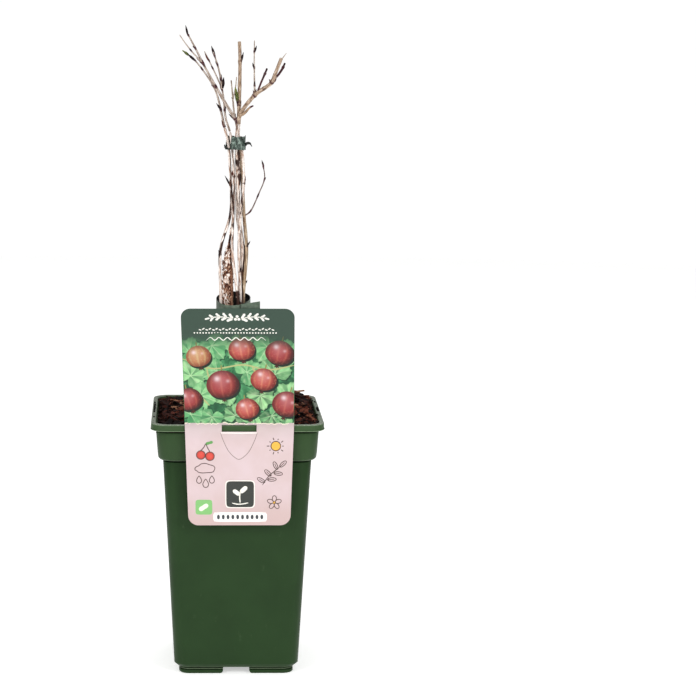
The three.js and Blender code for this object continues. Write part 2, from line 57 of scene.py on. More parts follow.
# The pot: half widths and heights.
POT_HEIGHT = 197.6
RIM_HALF = 64.97
CORNER_RATIO = 0.178  # a corner's radius as a share of the half width
WALL = 1.5
LIP_FOOT = POT_HEIGHT - 5.2
COLLAR_TOP_HALF = 61.0
COLLAR_FOOT_HALF = 59.8
COLLAR_FOOT = 174.5
STEP = 168.1
BODY_TOP_HALF = 55.8
BODY_FOOT_HALF = 47.4
BODY_FOOT = 8.4
FOOT_HEIGHT = 5.0
FOOT_HALF = 43.7
FOOT_WIDTH = 6.0
NOTCH_WIDTH = 20.0
FOOT_ROUND = 2.8
DRAIN_RADIUS = 4.5
DRAIN_PITCH = 24.0

# The compost: its level round the bush, and how far it is heaped towards the walls.
SOIL = 189.0
SEAT = 20.0
HEAP_REACH = 46.0
HEAP = {"around": 5.0, "right": 2.0, "back": 2.0}
CREST = {"x": 42.0, "y": 36.0, "spread": 24.0, "height": 5.0}
BRIM = POT_HEIGHT - 1.3
BED_HALF = 60.1
BED_FOOT = 178.0
SCATTER_HALF = 59.4  # how far from the middle a chip may fall
CHIP_EDGE = 64.2  # how far from the middle a chip may reach

# The bush: the heights of the bundle's stations, its fork and its tie, and the spacing of its buds.
GROUND = SOIL + 0.3
STATIONS = (GROUND, 281, 321, 349, 373, 401)
FORK = 418
TIE = 401.0
GOLDEN_TURN = 137.5
SPACING = 13.0

# The label's card, from its foot over the rim to its top, its slot, and the strap's loop.
CARD_TOP_WIDTH, CARD_FOOT_WIDTH = 86.8, 76.0
CARD_CENTRES = (1.5, 0.5)  # across, at the card's foot and its top
CARD_CORNER = 7.5
CARD_THICK = 0.36
CARD_FOOT = 121.0
CARD_TOP = 278.4
CARD_TOP_Y = -14.5
CARD_FOOT_Y = -62.4
CARD_LIP_Y = -65.85
SLOT = {"left": -12.0, "right": 13.8, "low": 192.8, "high": 198.1}
STRAP_THICK = 0.45
LOOP_RADIUS = 13.3
LOOP_CENTRE_X = -2.6
LOOP_TALL = 12.0
LOOP_DROP = 3.75
LOOP_BACK = 287.7


# ------------------------------------------------------------------ small tools


def smooth(low, high, value):
    share = min(max((value - low) / (high - low), 0.0), 1.0)
    return share * share * (3 - 2 * share)


def lerp(low, high, share):
    return low + (high - low) * share


def clamp(value, low=0.0, high=1.0):
    return min(max(value, low), high)


def blend(a, b, share):
    return tuple(lerp(x, y, clamp(share)) for x, y in zip(a, b))


def seeded(seed):
    """The same repeatable random numbers as the solids use."""
    mask = 0xFFFFFFFF
    state = [seed]

    def draw():
        state[0] = (state[0] + 0x6D2B79F5) & mask
        value = state[0]
        mixed = ((value ^ (value >> 15)) * (1 | value)) & mask
        mixed = ((mixed + ((mixed ^ (mixed >> 7)) * (61 | mixed))) & mask) ^ mixed
        return ((mixed ^ (mixed >> 14)) & mask) / 4294967296

    return draw


def colour(code):
    """A linear colour from a six-figure screen colour."""
    parts = [int(code[i : i + 2], 16) / 255 for i in (0, 2, 4)]
    return tuple(c / 12.92 if c <= 0.04045 else ((c + 0.055) / 1.055) ** 2.4 for c in parts) + (1.0,)


def solid(chosen, share=1.0):
    """A setting's colour, opaque, or a share of it."""
    return tuple(share * part for part in chosen[:3]) + (1.0,)


class Route:
    """A smooth curve through a few points, measured along its length."""

    def __init__(self, position, samples=360):
        self.points = np.array([position(i / samples) for i in range(samples + 1)])
        steps = np.linalg.norm(np.diff(self.points, axis=0), axis=1)
        self.lengths = np.concatenate([[0.0], np.cumsum(steps)])
        self.length = float(self.lengths[-1])

    def at(self, share):
        here = share * self.length
        return Vector([float(np.interp(here, self.lengths, self.points[:, k])) for k in range(3)])

    def tangent(self, share):
        near = 0.6 / self.length
        return (self.at(min(share + near, 1.0)) - self.at(max(share - near, 0.0))).normalized()


def through(*points):
    """A centripetal Catmull-Rom curve, as the solids' limbs follow."""
    knots = [np.array(point, float) for point in points]
    last = len(knots) - 1

    def position(t):
        whole = min(int(last * t), last - 1)
        w = last * t - whole
        p1, p2 = knots[whole], knots[whole + 1]
        p0 = knots[whole - 1] if whole > 0 else 2 * p1 - p2
        p3 = knots[whole + 2] if whole + 2 <= last else 2 * p2 - p1
        d0, d1, d2 = (np.dot(b - a, b - a) ** 0.25 for a, b in ((p0, p1), (p1, p2), (p2, p3)))
        t1 = ((p1 - p0) / d0 - (p2 - p0) / (d0 + d1) + (p2 - p1) / d1) * d1
        t2 = ((p2 - p1) / d1 - (p3 - p1) / (d1 + d2) + (p3 - p2) / d2) * d1
        return p1 + t1 * w + (3 * (p2 - p1) - 2 * t1 - t2) * w * w + (2 * (p1 - p2) + t1 + t2) * w**3

    return Route(position)


def arch(root, elbow, tip):
    """A curve that leaves its root along an elbow point and ends at its tip."""
    a, b, c = (np.array(point, float) for point in (root, elbow, tip))
    return Route(lambda t: (1 - t) ** 2 * a + 2 * t * (1 - t) * b + t * t * c, 80)


def square_to(tangent, way):
    """A way turned until it stands square on a tangent."""
    return (way - tangent * way.dot(tangent)).normalized()


def sideways(tangent, turn, lean):
    """The way a side growth leaves a twig: turn 0 is to the right, 90 to the back."""
    angle, tilt = math.radians(turn), math.radians(lean)
    out = square_to(tangent, Vector((math.cos(angle), math.sin(angle), 0.0)))
    return (out * math.sin(tilt) + tangent * math.cos(tilt)).normalized()


def grain(point, size, stretch=1.0, octaves=3):
    """Soft noise of about -1 to 1 with features of a size, longer upwards by stretch."""
    place = Vector((point.x / size, point.y / size, point.z / (size * stretch)))
    return noise.fractal(place, 1.0, 2.1, octaves)


def shade_smooth(mesh, sharp=None):
    """Smooth faces, with edges over a number of degrees left sharp."""
    mesh.polygons.foreach_set("use_smooth", [True] * len(mesh.polygons))
    if sharp:
        mesh.set_sharp_from_angle(angle=math.radians(sharp))


def placed(name, data):
    """Puts data on the stage as an object."""
    item = bpy.data.objects.new(name, data)
    bpy.context.scene.collection.objects.link(item)
    return item


def new_piece(mesh, finish, replaces=(), sharp=60):
    """Puts a finished mesh on the stage as a piece of the object, under the mesh's name."""
    mesh.materials.append(finish)
    shade_smooth(mesh, sharp)
    piece = placed(mesh.name, mesh)
    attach(piece, "root")
    if replaces:
        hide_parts(*replaces)
    return piece


def outwards(bm):
    bmesh.ops.recalc_face_normals(bm, faces=bm.faces)


def mesh_from(name, bm):
    """Turns a shape in millimetres into a mesh in metres, with its faces outwards."""
    bmesh.ops.scale(bm, vec=(MM, MM, MM), verts=bm.verts)
    outwards(bm)
    mesh = bpy.data.meshes.new(name)
    bm.to_mesh(mesh)
    bm.free()
    return mesh


def layer(bm, name, kind="float"):
    """The named value that each vertex carries."""
    layers = getattr(bm.verts.layers, kind)
    return layers.get(name) or layers.new(name)


def extruded(bm, faces=None):
    """Pulls faces out in their place and gives the new vertices."""
    made = bmesh.ops.extrude_face_region(bm, geom=faces or bm.faces[:])["geom"]
    return [item for item in made if isinstance(item, bmesh.types.BMVert)]


def sliced(bm, point, normal, dist=1e-5, **kept):
    """Cuts a shape along a plane, and clears the side that is asked for."""
    geometry = bm.verts[:] + bm.edges[:] + bm.faces[:]
    bmesh.ops.bisect_plane(bm, geom=geometry, plane_co=point, plane_no=normal, dist=dist, **kept)


NO_AREA = 1e-7  # a face smaller than this, in square millimetres, has collapsed


def closed_up(bm, dist):
    """Joins a strip's two ends, and drops the faces that this leaves without an area."""
    bmesh.ops.remove_doubles(bm, verts=bm.verts, dist=dist)
    collapsed = [face for face in bm.faces if face.calc_area() < NO_AREA]
    bmesh.ops.delete(bm, geom=collapsed, context="FACES")


def prototype(shape):
    """A small shape's points and faces, to be stamped many times."""
    bm = bmesh.new()
    shape(bm)
    outwards(bm)
    bm.verts.index_update()
    points = np.array([vert.co[:] for vert in bm.verts])
    faces = [[vert.index for vert in face.verts] for face in bm.faces]
    bm.free()
    return points, faces


def stamped(name, prototypes, placements):
    """One mesh of many copies: each placement is (which prototype, matrix, tone)."""
    points, faces, tones, start = [], [], [], 0
    for which, matrix, tone in placements:
        shape, sides = prototypes[which]
        points.append(shape @ np.array(matrix.to_3x3()).T + np.array(matrix.translation))
        faces.extend([[index + start for index in face] for face in sides])
        tones.append(np.full(len(shape), tone))
        start += len(shape)
    mesh = bpy.data.meshes.new(name)
    mesh.from_pydata(np.concatenate(points) * MM, [], faces)
    tone_layer = mesh.attributes.new("tone", "FLOAT", "POINT")
    tone_layer.data.foreach_set("value", np.concatenate(tones).astype(np.float32))
    return mesh


def aimed(foot, direction, roll, scale):
    """A matrix that stands a shape's +Z along a direction from a foot."""
    turn = direction.to_track_quat("Z", "Y").to_matrix().to_4x4()
    return Matrix.Translation(foot) @ turn @ Matrix.Rotation(roll, 4, "Z") @ Matrix.Diagonal((*scale, 1))


# ------------------------------------------------------------------ finishes


class Finish:
    """A procedural material, put together a node at a time. Colours may be given as six-figure codes."""

    def __init__(self, name, roughness=0.5, specular=0.5, coat=0.0):
        self.material = bpy.data.materials.new(name)
        self.material.use_nodes = True
        self.tree = self.material.node_tree
        self.shader = self.tree.nodes["Principled BSDF"]
        self.shader.inputs["Roughness"].default_value = roughness
        self.shader.inputs["Specular IOR Level"].default_value = specular
        self.shader.inputs["Coat Weight"].default_value = coat

    def feed(self, socket, value):
        if isinstance(value, bpy.types.NodeSocket):
            self.tree.links.new(value, socket)
        else:
            socket.default_value = colour(value) if isinstance(value, str) else value

    def add(self, kind, inputs=None, output=0, **settings):
        node = self.tree.nodes.new("ShaderNode" + kind)
        for key, value in settings.items():
            setattr(node, key, value)
        for key, value in (inputs or {}).items():
            self.feed(node.inputs[key], value)
        return node.outputs[output]

    def place(self, stretch=(1, 1, 1), uv=False):
        """Object coordinates in metres, or the piece's own UV map, stretched."""
        source = self.add("TexCoord", output=2 if uv else 3)
        return self.add("Mapping", {"Vector": source, "Scale": stretch})

    def noise(self, size, where, detail=4.0, rough=0.55, twist=0.0):
        """Noise with features of a size in millimetres."""
        inputs = {"Vector": where, "Scale": 1 / (size * MM), "Detail": detail}
        inputs.update({"Roughness": rough, "Distortion": twist})
        return self.add("TexNoise", inputs)

    def cells(self, size, where, feature="F1"):
        return self.add("TexVoronoi", {"Vector": where, "Scale": 1 / (size * MM)}, feature=feature)

    def attribute(self, name, output=2):
        return self.add("Attribute", output=output, attribute_name=name)

    def combine(self, operation, a, b):
        return self.add("Math", {0: a, 1: b}, operation=operation)

    def plus(self, a, b):
        return self.combine("ADD", a, b)

    def times(self, a, b):
        return self.combine("MULTIPLY", a, b)

    def band(self, value, low, high, to_low=0.0, to_high=1.0):
        """A value taken from one range to another, and held at its ends."""
        inputs = {"Value": value, 1: low, 2: high, 3: to_low, 4: to_high}
        return self.add("MapRange", inputs, interpolation_type="SMOOTHSTEP")

    def ramp(self, value, *stops):
        """Colours along a value: each stop is (place, colour)."""
        node = self.tree.nodes.new("ShaderNodeValToRGB")
        self.feed(node.inputs[0], value)
        elements = node.color_ramp.elements
        while len(elements) < len(stops):
            elements.new(1.0)
        for element, (position, tint) in zip(elements, stops):
            element.position = position
            element.color = colour(tint) if isinstance(tint, str) else tint
        return node.outputs[0]

    def mix(self, a, b, share):
        return self.add("Mix", {0: share, 6: a, 7: b}, 2, data_type="RGBA")

    def stain(self, tint, over, value, low, high, most=1.0, least=0.0):
        """A colour laid over a tint, more of it as a value goes from low to high."""
        return self.mix(tint, over, self.band(value, low, high, least, most))

    def done(self, tint, rough=None, height=None, depth=0.1, strength=1.0):
        """Wires colour, roughness and a bump whose depth is in millimetres."""
        self.feed(self.shader.inputs["Base Color"], tint)
        if rough is not None:
            self.feed(self.shader.inputs["Roughness"], rough)
        if height is not None:
            inputs = {"Height": height, "Distance": depth * MM, "Strength": strength}
            self.feed(self.shader.inputs["Normal"], self.add("Bump", inputs))
        return self.material


EDGE_HIGHLIGHT, GROOVE_SHADOW = "a9bb9c", "050a04"

# Painted highlight lines where the pot's edges catch light, and painted shadow lines in its grooves: from a
# height to a height, how strong, and their colour.
POT_LINES = (
    (LIP_FOOT - 0.05, LIP_FOOT + 0.45, 0.34, EDGE_HIGHLIGHT),
    (POT_HEIGHT - 0.6, POT_HEIGHT - 0.2, 0.22, "b4c4aa"),
    (STEP + 0.8, STEP + 1.4, 0.14, EDGE_HIGHLIGHT),
    (FOOT_HEIGHT + 0.6, FOOT_HEIGHT + 1.2, 0.1, EDGE_HIGHLIGHT),
    (LIP_FOOT - 1.4, LIP_FOOT - 0.35, 0.7, GROOVE_SHADOW),
    (STEP - 0.5, STEP + 0.4, 0.8, GROOVE_SHADOW),
    (FOOT_HEIGHT - 2.0, FOOT_HEIGHT - 1.45, 0.7, GROOVE_SHADOW),
    (FOOT_HEIGHT - 1.2, FOOT_HEIGHT - 0.8, 0.25, EDGE_HIGHLIGHT),
    (FOOT_HEIGHT - 0.5, FOOT_HEIGHT + 0.1, 0.75, GROOVE_SHADOW),
)
LINE_BLUR = 0.25


def pot_plastic(settings):
    finish = Finish("pot_plastic", specular=0.14)
    where = finish.place()
    height = finish.add("SeparateXYZ", {"Vector": where}, 2)
    cloudy = finish.noise(38, where, 3)
    dust = finish.noise(5, finish.place((1, 1, 0.5)), 5, 0.65)
    speck = finish.noise(0.5, where, 2, 0.6)
    tint = finish.stain(solid(settings.pot_colour, 0.86), solid(settings.pot_colour), cloudy, 0.3, 0.7)
    tint = finish.stain(tint, "8a9a7c", dust, 0.62, 0.86, 0.12)
    # Painted light: the collar above the step and the lip above its foot are painted a little lighter, as
    # faces that catch more light.
    for low, high in ((STEP, STEP + 3), (LIP_FOOT - 0.6, LIP_FOOT)):
        tint = finish.stain(tint, "6f8a62", height, low * MM, high * MM, 0.1)
    # Paint the highlight and shadow lines along the edges.
    for low, high, share, line in POT_LINES:
        rise = finish.band(height, (low - LINE_BLUR) * MM, low * MM)
        fall = finish.band(height, high * MM, (high + LINE_BLUR) * MM, share, 0.0)
        tint = finish.mix(tint, line, finish.times(rise, fall))
    # Pale grit on the rim's top edge: partly dust, partly a painted grey sheen where the top catches light.
    rim = finish.band(height, (POT_HEIGHT - 0.5) * MM, (POT_HEIGHT - 0.15) * MM)
    grit_and_sheen = finish.band(finish.noise(1.3, where, 4, 0.7), 0.42, 0.6, 0.04, 0.52)
    tint = finish.mix(tint, "c6c8be", finish.times(rim, grit_and_sheen))
    rough = finish.band(dust, 0.3, 0.8, settings.pot_roughness - 0.05, settings.pot_roughness + 0.14)
    flow = finish.noise(14, finish.place((1, 1, 0.35)), 2)
    relief = finish.plus(finish.times(speck, 0.05), finish.times(flow, 0.5))
    return finish.done(tint, rough, relief, 0.5, 0.35)


def compost_crumb():
    finish = Finish("compost_crumb", roughness=0.95, specular=0.08)
    where = finish.place()
    coarse = finish.noise(4.5, where, 6, 0.7)
    fine = finish.noise(1.1, where, 4, 0.7)
    tint = finish.ramp(coarse, (0.3, "090403"), (0.5, "23120b"), (0.72, "45281a"))
    tint = finish.stain(tint, "1a0f0a", fine, 0.45, 0.65, 0.7)
    return finish.done(tint, None, finish.plus(coarse, fine), 1.6, 0.9)


def bark_chip():
    """Loose bark: tone runs from damp and black to dry and tan; low tone also carries painted shade in the
    hollow and by the left wall.
    """
    finish = Finish("bark_chip", specular=0.12)
    streak = finish.noise(1.6, finish.place((1, 1, 2.2)), 5, 0.7, 0.4)
    wet_and_shaded = (0.0, "080302"), (0.3, "210d09"), (0.58, "4a2118")
    dry = (0.8, "743829"), (0.93, "9d6349"), (1.0, "c4987a")
    tint = finish.ramp(finish.attribute("tone"), *wet_and_shaded, *dry)
    tint = finish.stain(tint, "120a07", streak, 0.42, 0.68, 0.65)
    relief = finish.noise(0.7, finish.place(), 4)
    return finish.done(tint, finish.band(streak, 0.3, 0.8, 0.72, 0.95), relief, 0.5, 0.8)


def old_bark():
    """Rough bark: tone 0 is a crack, 1 the top of a plate; tone is also painted higher on the stump's lit
    left side and lower on its right, as painted light.
    """
    finish = Finish("old_bark", roughness=0.85, specular=0.3)
    where = finish.place((1, 1, 0.5))
    broad = finish.noise(3.2, where, 5, 0.7, 0.5)
    fine = finish.noise(0.8, where, 5, 0.7)
    light = finish.plus(finish.times(broad, 0.6), finish.times(finish.attribute("tone"), 0.5))
    tint = finish.ramp(
        light, (0.3, "24110b"), (0.44, "5d3627"), (0.56, "94664c"), (0.65, "cfa98d"), (0.74, "fff3ea")
    )
    tint = finish.stain(tint, "4a2415", fine, 0.52, 0.7, 0.6)
    return finish.done(tint, None, finish.plus(broad, fine), 0.7, 0.8)


def stem_bark(settings):
    """Pale papery bark with brown streaks: tone 0 stands for dead bark, scars and painted shade, 1 for clean
    bark.
    """
    finish = Finish("stem_bark", specular=0.35)
    streak = finish.noise(1.1, finish.place((1, 0.1, 1), uv=True), 5, 0.65, 0.3)
    thin = finish.noise(0.5, finish.place((1, 0.06, 1), uv=True), 3, 0.6)
    blotch = finish.noise(7, finish.place((1, 1, 0.35)), 4, 0.6)
    fleck = finish.noise(0.45, finish.place((1, 0.35, 1), uv=True), 3, 0.6)
    pale = solid(settings.stem_colour)
    tint = finish.ramp(streak, (0.35, "4b2a1c"), (0.42, "a9816a"), (0.49, pale), (0.62, "fff8f3"))
    brown = finish.ramp(streak, (0.32, "4f3a24"), (0.46, "947a58"), (0.6, "bda582"), (0.8, "e2d5ba"))
    tint = finish.mix(tint, brown, finish.attribute("tan"))
    tint = finish.stain(tint, "b08468", blotch, 0.54, 0.72, 0.42)
    tint = finish.stain(tint, "4f2c1c", thin, 0.57, 0.65, 0.95)
    tint = finish.stain(tint, "4c2c1c", fleck, 0.66, 0.78, 0.7)
    # Where tone is low the bark is dark: dead bark and scars, and painted shade in crevices and where stems
    # crowd.
    dead = finish.ramp(streak, (0.35, "140907"), (0.56, "3d2015"), (0.76, "835439"))
    tint = finish.stain(dead, tint, finish.attribute("tone"), 0.15, 0.8)
    return finish.done(tint, finish.band(streak, 0.3, 0.8, 0.82, 0.6), finish.plus(streak, fleck), 0.22, 0.7)


def twig_bark(settings):
    """Thin pale bark with fine purple-brown skin lines and small dark lenticels."""
    finish = Finish("twig_bark", specular=0.35)
    streak = finish.noise(0.8, finish.place((1, 0.14, 1), uv=True), 5, 0.62, 0.2)
    blotch = finish.noise(5, finish.place(), 4, 0.6)
    fleck = finish.cells(1.5, finish.place((1, 0.5, 1), uv=True))
    tan = solid(settings.twig_colour)
    tint = finish.ramp(streak, (0.32, "4a342d"), (0.43, tan), (0.55, "d3c5b8"), (0.72, "f3ebe4"))
    brown = finish.ramp(streak, (0.32, "4d3a2c"), (0.44, "8c7058"), (0.58, "b69b80"), (0.76, "e2d5c2"))
    tint = finish.mix(tint, brown, finish.attribute("tan"))
    tint = finish.stain(tint, "8a6a5a", blotch, 0.52, 0.74, 0.55)
    tint = finish.stain(tint, "4b2f2a", fleck, 0.22, 0.1, 0.55)
    # Where tone is low the twig is dark: scars, dull bark and dead spurs, and painted shade from the shadow
    # streaks.
    scar_and_shade = finish.ramp(streak, (0.35, "1c0a12"), (0.62, "54262a"))
    tint = finish.stain(scar_and_shade, tint, finish.attribute("tone"), 0.1, 0.8)
    return finish.done(tint, finish.band(streak, 0.3, 0.8, 0.8, 0.58), streak, 0.15, 0.6)


def bud_skin(name, dark, light, tip):
    """Overlapping bud scales: tone runs from the bud's foot to its tip."""
    finish = Finish(name, specular=0.2)
    mottle = finish.noise(0.8, finish.place(), 4, 0.6)
    tint = finish.stain(dark, light, mottle, 0.4, 0.68)
    tint = finish.stain(tint, tip, finish.attribute("tone"), 0.62, 1.0, 0.75)
    return finish.done(tint, finish.band(mottle, 0.3, 0.7, 0.5, 0.75), mottle, 0.12, 0.7)


def tape_finish():
    finish = Finish("tie_tape", specular=0.5)
    crease = finish.noise(2.2, finish.place((1, 1, 0.6)), 4, 0.6, 0.6)
    wear = finish.noise(0.8, finish.place(), 3)
    # Painted shade and highlight: the tape's creases are painted dark and their ridges light.
    tint = finish.ramp(crease, (0.36, "0f1813"), (0.5, "33443b"), (0.66, "84968b"))
    tint = finish.stain(tint, "1c2a22", wear, 0.6, 0.75, 0.4)
    # Tone paints shade: lower tone darkens the tape towards near black.
    tint = finish.mix("060b08", tint, finish.attribute("tone"))
    return finish.done(tint, finish.band(crease, 0.3, 0.7, 0.35, 0.55), crease, 0.6, 0.8)


def card_finish(settings, card_length, print_edge):
    """The card's own print: a bare tinted panel below, a leafy picture ground above it, and painted shade on
    the panel just under the picture, where the card bends over the rim.
    """
    finish = Finish("label_card", roughness=0.34, specular=0.5, coat=0.25)
    where = finish.place(uv=True)
    split = finish.add("SeparateXYZ", {"Vector": where}, 1)
    height = finish.combine("DIVIDE", split, card_length * MM)
    edge = finish.band(finish.noise(5, finish.place((1, 0.05, 1), uv=True), 3, 0.6), 0.3, 0.7, -0.006, 0.006)
    above = finish.plus(height, edge)
    fibre = finish.noise(0.6, where, 3, 0.7)
    panel = finish.stain("d0b9b9", "d6c1c4", finish.noise(30, where, 3), 0.35, 0.65)
    panel = finish.stain(panel, "cdb1a6", fibre, 0.62, 0.8, 0.35)
    panel = finish.stain(panel, "c6a9a4", height, 0.2, 0.0, 0.7)
    # Painted shade: the panel is darker just under the picture, where the card bends over the rim.
    panel = finish.stain(panel, "b9aba8", height, print_edge - 0.1, print_edge, 0.5)
    leafy = finish.noise(13, where, 4, 0.6, 1.4)
    ground = finish.ramp(leafy, (0.3, "12402a"), (0.46, "25693f"), (0.6, "4c9a63"), (0.75, "8fd08f"))
    glow = finish.cells(9, finish.place((1, 1.3, 1), uv=True), "F2")
    ground = finish.stain(ground, "143f2a", glow, 0.75, 1.0, 0.55)
    ground = finish.stain(ground, solid(settings.header_colour), height, print_edge + 0.32, print_edge + 0.42)
    rim = finish.stain("f3ead2", ground, above, print_edge + 0.001, print_edge + 0.005)
    front = finish.stain(panel, rim, above, print_edge - 0.002, print_edge)
    return finish.done(finish.mix("efe9e2", front, finish.attribute("tone")), None, fibre, 0.02, 0.4)


def ink_finish():
    """Printed shapes on the card, and the tongue's painted shade and highlight: each carries its own colour.
    """
    finish = Finish("label_ink", roughness=0.32, specular=0.5, coat=0.25)
    dots = finish.noise(0.35, finish.place(), 2)
    return finish.done(finish.stain(finish.attribute("ink", 0), "ffffff", dots, 0.6, 0.8, 0.07))


def strap_finish():
    """The strap's plastic: tone 1 is its printed face, 0 its inside, painted near black as shade."""
    finish = Finish("label_strap", roughness=0.42, specular=0.5)
    face = finish.stain("425143", "5a6a59", finish.noise(6, finish.place(), 3), 0.35, 0.65)
    # Painted shade: the strap's inside is near black.
    tint = finish.stain("020302", face, finish.attribute("tone"), 0.6, 1.0)
    return finish.done(tint, None, finish.noise(3, finish.place(), 2), 0.2, 0.4)


def floor_finish(settings):
    finish = Finish("floor", roughness=0.6, specular=0.2)
    shade = solid(settings.floor_colour)
    pale = tuple(min(1.0, part) for part in solid(settings.floor_colour, 1.01))
    finish.shader.inputs["Emission Color"].default_value = (1.0, 1.0, 1.0, 1.0)
    finish.shader.inputs["Emission Strength"].default_value = settings.glow
    return finish.done(finish.stain(shade, pale, finish.noise(900, finish.place(), 2), 0.3, 0.7))


# ------------------------------------------------------------------ pot

ARC_STEPS = 14
SIDE_STEPS = 10
COLUMNS = 4 * (ARC_STEPS + SIDE_STEPS)


def square_outline(angle):
    """A square of half width 1 with rounded corners, at an angle of a full turn."""
    index = round(angle / math.tau * COLUMNS) % COLUMNS
    corner, step = divmod(index, ARC_STEPS + SIDE_STEPS)
    straight = 1 - CORNER_RATIO
    turn = math.pi / 2 * min(step / ARC_STEPS, 1)
    x = straight + CORNER_RATIO * math.cos(turn)
    y = straight + CORNER_RATIO * math.sin(turn)
    if step > ARC_STEPS:
        x -= 2 * straight * (step - ARC_STEPS) / SIDE_STEPS
    return Matrix.Rotation(corner * math.pi / 2, 2) @ Vector((x, y))


def square_turned(bm, profile, rounding=0.0):
    """Turns a profile of (half width, height) round +Z and squares the circles it makes."""
    verts = [bm.verts.new((half, 0, height)) for half, height in profile]
    edges = [bm.edges.new(pair) for pair in zip(verts, verts[1:])]
    bmesh.ops.spin(
        bm, geom=verts + edges, cent=(0, 0, 0), axis=(0, 0, 1), angle=math.tau, steps=COLUMNS, use_merge=True
    )
    bmesh.ops.remove_doubles(bm, verts=bm.verts, dist=1e-4)
    if rounding:
        rings = []
        for edge in bm.edges:
            a, b = (vert.co for vert in edge.verts)
            level = len(edge.link_faces) == 2 and abs(a.z - b.z) < 1e-4 and a.xy.length > 10
            if level and edge.calc_face_angle() > math.radians(20):
                rings.append(edge)
        bmesh.ops.bevel(
            bm,
            geom=rings,
            offset=rounding,
            affect="EDGES",
            segments=2,
            profile=0.5,
            material=-1,
            clamp_overlap=True,
        )
    for vert in bm.verts:
        half = vert.co.xy.length
        outline = square_outline(math.atan2(vert.co.y, vert.co.x) % math.tau)
        vert.co.x = half * outline.x
        vert.co.y = half * outline.y


INSIDE = (
    (BODY_FOOT_HALF - WALL - 1.6, FOOT_HEIGHT + 2),
    (BODY_FOOT_HALF - WALL, BODY_FOOT + 0.8),
    (BODY_TOP_HALF - WALL, STEP + 0.6),
    (COLLAR_FOOT_HALF - WALL - 0.9, STEP + 2.6),
    (COLLAR_FOOT_HALF - WALL, COLLAR_FOOT + 0.6),
    (COLLAR_TOP_HALF - WALL, LIP_FOOT),
)


def notch_cutter(turn):
    """What the gap between the feet takes away, wider at the ground, where the feet's corners are round."""
    half, top, back, steps = NOTCH_WIDTH / 2, FOOT_HEIGHT - 0.02, 80, 5
    arc = [math.radians(90 * step / steps) for step in range(steps + 1)]
    flare = [(half + FOOT_ROUND * (1 - math.cos(a)), FOOT_ROUND * (1 - math.sin(a))) for a in arc]
    side = [(half - 0.5, top), (half, top - 0.5), *flare, (half + FOOT_ROUND, -12)]
    bm = bmesh.new()
    section = [bm.verts.new((x, -back, z)) for x, z in side]
    section += [bm.verts.new((-x, -back, z)) for x, z in reversed(side)]
    far = extruded(bm, [bm.faces.new(section)])
    bmesh.ops.translate(bm, vec=(0, 2 * back, 0), verts=far)
    bmesh.ops.rotate(bm, matrix=Matrix.Rotation(turn, 3, "Z"), verts=bm.verts)
    return bm


def cut_away(piece, cutter):
    """Takes a cutter's shape out of a piece."""
    tool = placed("cutter", mesh_from("cutter", cutter))
    modifier = piece.modifiers.new("cut", "BOOLEAN")
    modifier.operation = "DIFFERENCE"
    modifier.solver = "EXACT"
    modifier.object = tool
    graph = bpy.context.evaluated_depsgraph_get()
    mesh = bpy.data.meshes.new_from_object(piece.evaluated_get(graph))
    if not mesh.polygons:
        raise RuntimeError(f"nothing is left of {piece.name}")
    piece.modifiers.clear()
    piece.data = mesh
    shape = tool.data
    bpy.data.objects.remove(tool)
    bpy.data.meshes.remove(shape)
    shade_smooth(mesh, 35)


